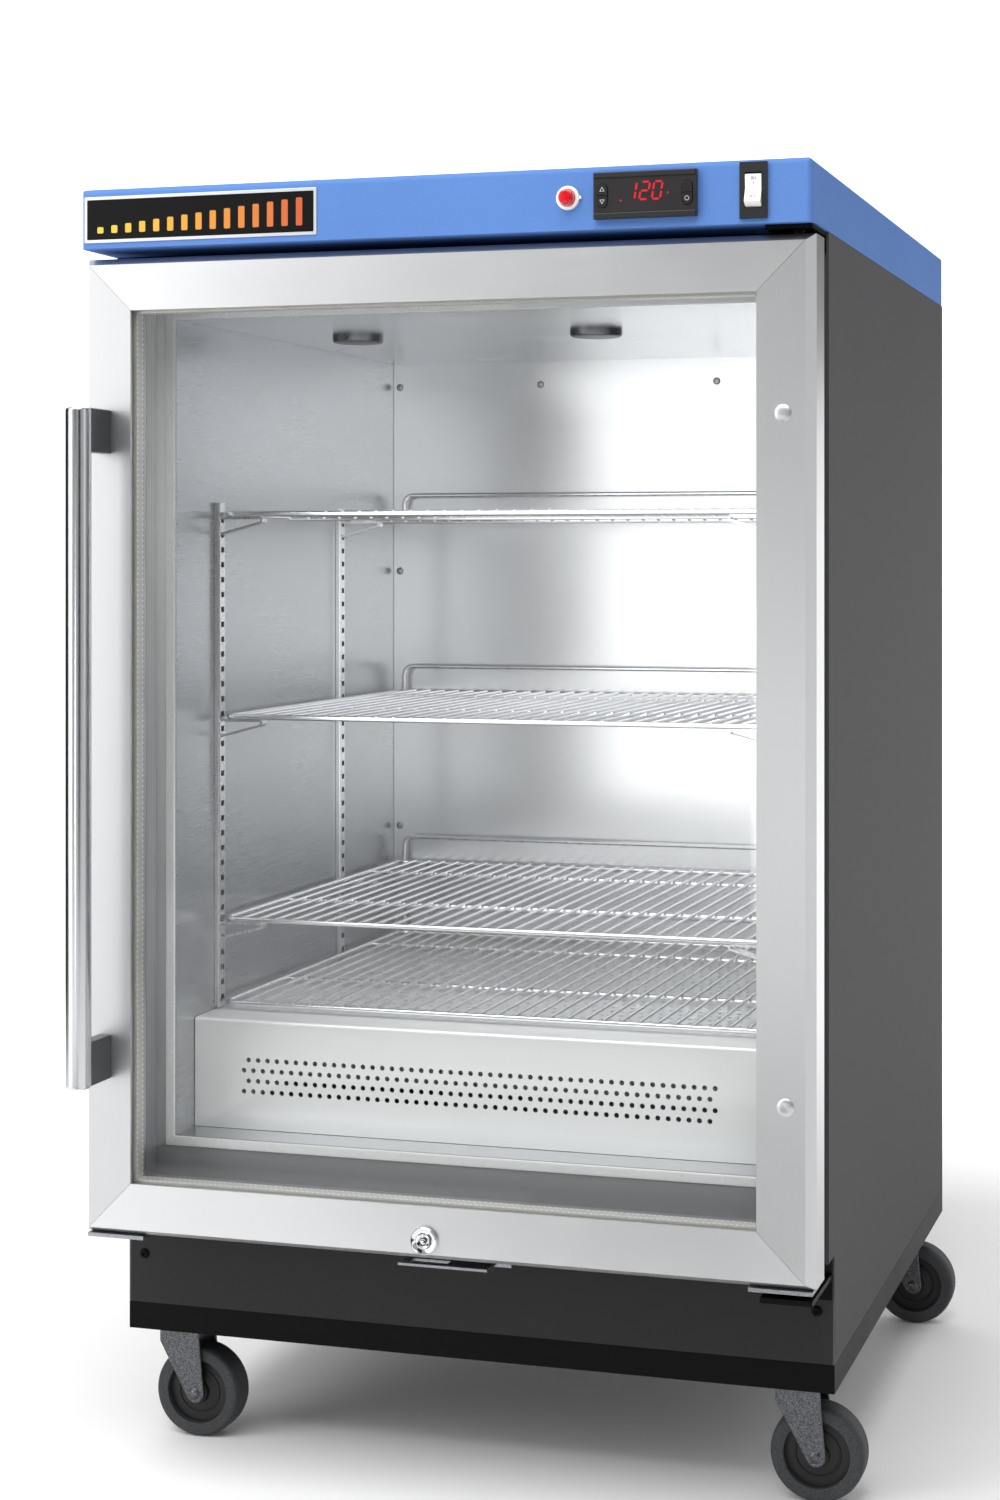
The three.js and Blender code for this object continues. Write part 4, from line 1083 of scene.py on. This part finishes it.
# %% [markdown]
# ## Pilot lamp
# The lamp has a white collar with a small tab and a red lens that narrows in two steps to a flat front.
# Both are turned forms. The collar and the lens are different plastics, so they are two pieces, and
# together they stand for the lamp's one solid.

# %% Lamp
LAMP = (111.0, -60.0, PANEL_Z)
COLLAR = np.array([(5.9, 0.3), (9.2, 0.3), (9.2, -1.6), (8.8, -2.3), (8.0, -2.6), (6.8, -2.5),
                   (6.4, -2.0), (5.9, -1.6), (5.9, 0.3)])
tab = lofted(rounded(2.4, 2.6, 0.7, 3) + (9.5, 0), eased(1.8, 0.5), LAMP, FRONT)
piece("lamp_collar", joined(turned(COLLAR, LAMP, "y", 56), tab), white_plastic, "cabinet")
LENS = np.array([(0, 18), (5.8, 18), (5.8, -2.0), (6.1, -3.0), (6.0, -6.6), (5.6, -7.4), (4.9, -7.7),
                 (4.6, -8.0), (4.3, -9.5), (3.9, -10.0), (3.2, -10.1), (0, -10.1)])
piece("lamp_lens", turned(LENS, LAMP, "y", 48), red_lens, "cabinet", ["indicator_lamp"])
print("lamp made")

# %% [markdown]
# ## Plate on the fascia
# A thin plate with a silver rim sits at the left of the fascia. Its face is black and carries a plain
# scale of heat: slim bars that grow from pale amber to deep orange. The colour of a bar follows where
# it stands, so one ramp along X colours all of them.

# %% Heat scale plate
PLATE_Z, PLATE_WIDE, PLATE_TALL, PLATE_RIM = 1012.0, 201.5, 37.0, 2.5
PLATE_AT = (-195.7, -60, PLATE_Z)
plate_rim = lofted(rounded(PLATE_WIDE, PLATE_TALL, 1.2, 4), eased(0.7, 0.25), PLATE_AT, FRONT)
piece("plate_rim", plate_rim, frame_level, "cabinet")
face_outline = rounded(PLATE_WIDE - 2 * PLATE_RIM, PLATE_TALL - 2 * PLATE_RIM, 0.8, 4)
plate_face = lofted(face_outline, eased(0.95, 0.15), PLATE_AT, FRONT)
plate_black = powder_coat("plate_black", linear(9, 9, 10), 0.4, 0.12)
piece("plate_face", plate_face, plate_black, "cabinet")
SCALE_LEFT, SCALE_LONG, BAR_FOOT = -288, 185, 11
heat_ink, heat_shader, heat_place = begin("heat_ink")
heat_share = (heat_place.axis("X") - float(to_frame((SCALE_LEFT, 0, 0))[0])) / (SCALE_LONG / 1000)
heat_colour = heat_share.ramp((0.0, linear(214, 186, 60)[:3]), (0.5, linear(206, 138, 34)[:3]),
                              (1.0, linear(186, 70, 30)[:3]))
heat_grain = heat_place.noise(900.0, 2.0)
feed(heat_shader, base_color=heat_colour, roughness=heat_grain * 0.15 + 0.38,
     normal=heat_grain.bump(0.00001))
BAR_COUNT = 15
bar_x = np.linspace(-282, -109.5, BAR_COUNT)
bar_tall = np.linspace(5.0, 22.0, BAR_COUNT)
scale_bars = [lofted(rounded(5.4, tall, 1.0, 3), eased(0.12, 0.05),
                     (x, -60.95, PLATE_Z - BAR_FOOT + tall / 2), FRONT) for x, tall in zip(bar_x, bar_tall)]
piece("heat_scale", joined(*scale_bars), heat_ink, "cabinet")
print(BAR_COUNT, "bars on the plate")

# %% [markdown]
# ## Casters
# A caster is a pressed fork under a ball race, with a wheel whose hub is darker and set back from the
# tread. The wheel is one turned half section split into tyre and hub. The fork's legs are flat outlines
# with eased edges, joined by a bridge, and a domed rivet ends the axle on both sides.

# %% Caster forms
TRAIL, AXLE_Z = 14.0, 38.0
CASTERS = {f"{end}_{hand}": (x, y) for end, y in (("front", 62), ("rear", 523))
           for hand, x in (("left", -266), ("right", 266))}


def mirrored_profile(half):
    """A half section for one side of a wheel, followed by its mirror image."""
    half = np.asarray(half, float)
    return np.concatenate([half, half[::-1] * (1, -1)])


crown = np.linspace(0, 1, 6) * math.pi / 2
tread_edge = np.column_stack([34.2 + 3.8 * np.sin(crown), -12.5 + 6.5 * (1 - np.cos(crown))])
tyre_half = np.concatenate([[(26.6, -6.0), (26.6, -12.0), (27.2, -12.5)], tread_edge])
tyre_profile = mirrored_profile(tyre_half)
TYRE = np.concatenate([tyre_profile, tyre_profile[:1]])
hub_half = np.array([(4.3, -13.4), (8.6, -13.4), (9.4, -12.8), (10.2, -9.2), (12.0, -8.4), (17.0, -7.6),
                     (17.6, -8.4), (18.6, -8.4), (19.2, -7.6), (26.7, -7.2)])
hub_profile = mirrored_profile(hub_half)
HUB = np.concatenate([hub_profile, hub_profile[:1]])


def leg_outline():
    """A fork leg seen from the side: upright at the front, then slanting to a round end at the axle."""
    end = np.linspace(math.pi * 1.2, math.pi * 2, 10)
    tip = np.column_stack([TRAIL + 8 * np.cos(end), AXLE_Z + 8 * np.sin(end)])
    return np.concatenate([[(17.0, 92.0), (-18.0, 92.0), (-18.0, 80.0)], tip])


def fork_shape():
    """Race, bridge, two legs, axle with rivet heads, and the stem above."""
    race = np.array([(0, 113), (5.6, 113), (6, 112), (6, 96.7), (20.5, 96.7), (21.8, 95.8), (21.2, 94.4),
                     (22, 93.4), (22, 91.6), (20, 90.2), (0, 90.2)])
    bridge = lofted(rounded(35, 34, 2.5, 4) + (-0.5, 0), [(1, 88.9), (0, 89.6), (0, 91.4), (1, 92.1)],
                    ORIGIN, UP)
    leg = leg_outline()
    near = lofted(leg, [(0.7, 14.5), (0, 15.0), (0, 16.4), (0.7, 17.0)], ORIGIN, FRONT)
    far = lofted(leg, [(0.7, -17.0), (0, -16.4), (0, -15.0), (0.7, -14.5)], ORIGIN, FRONT)
    rivet = np.array([(0, -18.9), (2.2, -18.7), (4.0, -18.1), (4.9, -17.2), (4.9, -16.8), (3.9, -16.6)])
    axle = turned(np.concatenate([rivet, rivet[::-1] * (1, -1)]), (TRAIL, 0, AXLE_Z), "y", 28)
    return joined(turned(race, ORIGIN, "z", 40), bridge, near, far, axle)


# %% Four casters
fork_form = fork_shape()
tyre_form = turned(TYRE, (TRAIL, 0, AXLE_Z), "y", 72)
hub_form = turned(HUB, (TRAIL, 0, AXLE_Z), "y", 56)
for corner, (x, y) in CASTERS.items():
    spot = (x, y, 0)
    piece(f"fork_{corner}", moved(fork_form, spot), fork_zinc, f"swivel_{corner}",
          [f"caster_fork_{corner}"])
    tyre = piece(f"tyre_{corner}", moved(tyre_form, spot), tyre_rubber, f"wheel_{corner}",
                 [f"caster_wheel_{corner}"])
    piece(f"hub_{corner}", moved(hub_form, spot), hub_plastic, f"wheel_{corner}")
print("casters made,", len(tyre.data.polygons), "faces in a tyre")

# %% [markdown]
# ## Floor and light
# A studio sweep is a floor that curves up into a wall, so no edge shows behind the cabinet. It is one
# profile carried from left to right, and a faint glow at both ends lets it fade into the white surround.
# Light comes from large soft sources: one at the left front, one overhead, one fill at the right, and
# three small ones for the chamber. Dark and white cards that only mirrored rays meet make steel fade
# from bright to grey, as cards in a studio do.

# %% Studio sweep
floor_paint, floor_shader, floor_place = begin("floor_paint", roughness=0.85, specular_ior_level=0.2,
                                               emission_strength=1.0)
floor_cloud = floor_place.noise(3.0, 2.0)
NEAR_END, GLOW_REACH = 3.4, 5.0
FLAT_END, SWEEP_BEND, SWEEP_TALL, SWEEP_HALF = 2.6, 1.4, 6.0, 8.0
dark = (0.0, 0.0, 0.0)
glow = ((floor_place.axis("Y") + NEAR_END) / GLOW_REACH).ramp(
    (0.0, (0.3, 0.3, 0.3)), (0.28, dark), (0.824, dark), (1.0, (0.75, 0.75, 0.75)))
feed(floor_shader, base_color=floor_cloud.mixed((0.89, 0.89, 0.89, 1), (0.91, 0.91, 0.91, 1)),
     emission_color=glow)
curve = np.linspace(0, math.pi / 2, 12)
bend = np.column_stack([FLAT_END + SWEEP_BEND * np.sin(curve), SWEEP_BEND * (1 - np.cos(curve))])
profile = np.concatenate([[(-NEAR_END, 0.0)], bend, [(FLAT_END + SWEEP_BEND, SWEEP_TALL)]])
grid = np.column_stack([np.tile([-SWEEP_HALF, SWEEP_HALF], len(profile)), np.repeat(profile, 2, 0)])
row = np.arange(len(profile) - 1) * 2
sweep_mesh = bpy.data.meshes.new("studio_sweep")
sweep_mesh.from_pydata(grid.tolist(), [], np.stack([row, row + 1, row + 3, row + 2], 1).tolist())
sweep_mesh.shade_smooth()
sweep_mesh.materials.append(floor_paint)
sweep = bpy.data.objects.new("studio_sweep", sweep_mesh)
bpy.context.scene.collection.objects.link(sweep)
print("sweep", len(row), "strips")


# %% Soft lights
def softbox(name, place, aim, wide, tall, power):
    """A rectangular light at a place, turned towards a point, both in metres."""
    light = bpy.data.lights.new(name, "AREA")
    light.shape, light.size, light.size_y, light.energy = "RECTANGLE", wide, tall, power
    holder = bpy.data.objects.new(name, light)
    bpy.context.scene.collection.objects.link(holder)
    place, aim = np.asarray(place, float), np.asarray(aim, float)
    ahead = (aim - place) / np.linalg.norm(aim - place)
    holder.location = place
    holder.rotation_euler = (math.acos(-ahead[2]), 0, math.atan2(-ahead[0], ahead[1]))
    return holder


softbox("left_front", (-2.45, -2.2, 1.3), (0, -0.1, 0.6), 2.0, 2.6, 40)
softbox("overhead", (-0.3, -1.5, 3.1), (0, 0, 0.4), 3.0, 2.4, 100)
softbox("right_fill", (3.2, -0.6, 1.5), (0.3, 0.1, 0.6), 1.2, 2.4, 4)
for name, at, aim, wide, tall, power in (
        ("chamber_light", (30, 6, 690), (30, 400, 640), 0.42, 0.47, 1.17),
        ("ceiling_light", (40, 230, 930), (40, 330, 0), 0.40, 0.26, 0.4),
        ("heater_light", (0, 8, 316), (0, 400, 316), 0.44, 0.08, 0.055)):
    softbox(name, to_frame(at), to_frame(aim), wide, tall, power).visible_camera = False


# %% Cards for the metal
def card(name, finish, corners):
    """A flat card through four corners in cabinet millimetres, which only mirrored rays meet."""
    mesh = bpy.data.meshes.new(name)
    mesh.from_pydata(to_frame(corners).tolist(), [], [(0, 1, 2, 3)])
    mesh.materials.append(finish)
    made = bpy.data.objects.new(name, mesh)
    for kind in ("camera", "diffuse", "transmission", "volume_scatter", "shadow"):
        setattr(made, f"visible_{kind}", False)
    bpy.context.scene.collection.objects.link(made)


def upright(x0, x1, z0, z1, y=-2600):
    """Corners of a standing card that faces the cabinet's front or rear."""
    return [(x0, y, z0), (x1, y, z0), (x1, y, z1), (x0, y, z1)]


def lying(x0, x1, y0, y1, z=3):
    """Corners of a card on the floor."""
    return [(x0, y0, z), (x1, y0, z), (x1, y1, z), (x0, y1, z)]


def sideways(y0, y1, z0, z1, x=-2000):
    """Corners of a standing card that faces the cabinet's side."""
    return [(x, y0, z0), (x, y1, z0), (x, y1, z1), (x, y0, z1)]


card_cloth = powder_coat("card_cloth", linear(36, 36, 36), 0.9, 0.0)
card_white = lit("card_white", (1, 1, 1, 1), 5.0, (0.8, 0.8, 0.8, 1))
for name, corners in (
        ("dark_card_high", upright(-800, 300, 980, 2100)),
        ("dark_card_floor", lying(-220, 260, -1450, -560)),
        ("dark_card_left", lying(-750, -220, -1450, -930)),
        ("dark_card_rear", upright(-2300, -800, 0, 1700, 1500)),
        ("dark_card_right", upright(1050, 2500, 0, 1700)),
        ("dark_card_side", sideways(-900, 1500, 0, 1700)),
        ("dark_card_back", upright(340, 2600, 1040, 2400, 2400))):
    card(name, card_cloth, corners)
card("white_card", card_white, upright(-350, -110, 90, 660))
print("cards set round the cabinet")

# %% Pale surround
MIRRORED_LIGHT = 0.45  # the surround is white for the camera and dimmer for all other rays
surround = bpy.data.worlds.new("studio_surround")
surround.use_nodes = True
backdrop = surround.node_tree.nodes["Background"]
backdrop.inputs["Color"].default_value = (1, 1, 1, 1)
ray_kind = surround.node_tree.nodes.new("ShaderNodeLightPath")
seen = Flow(surround.node_tree, ray_kind.outputs["Is Camera Ray"])
strength = seen * (1 - MIRRORED_LIGHT) + MIRRORED_LIGHT
surround.node_tree.links.new(strength.socket, backdrop.inputs["Strength"])
bpy.context.scene.world = surround
print(len(bpy.data.lights), "soft lights and a pale surround")
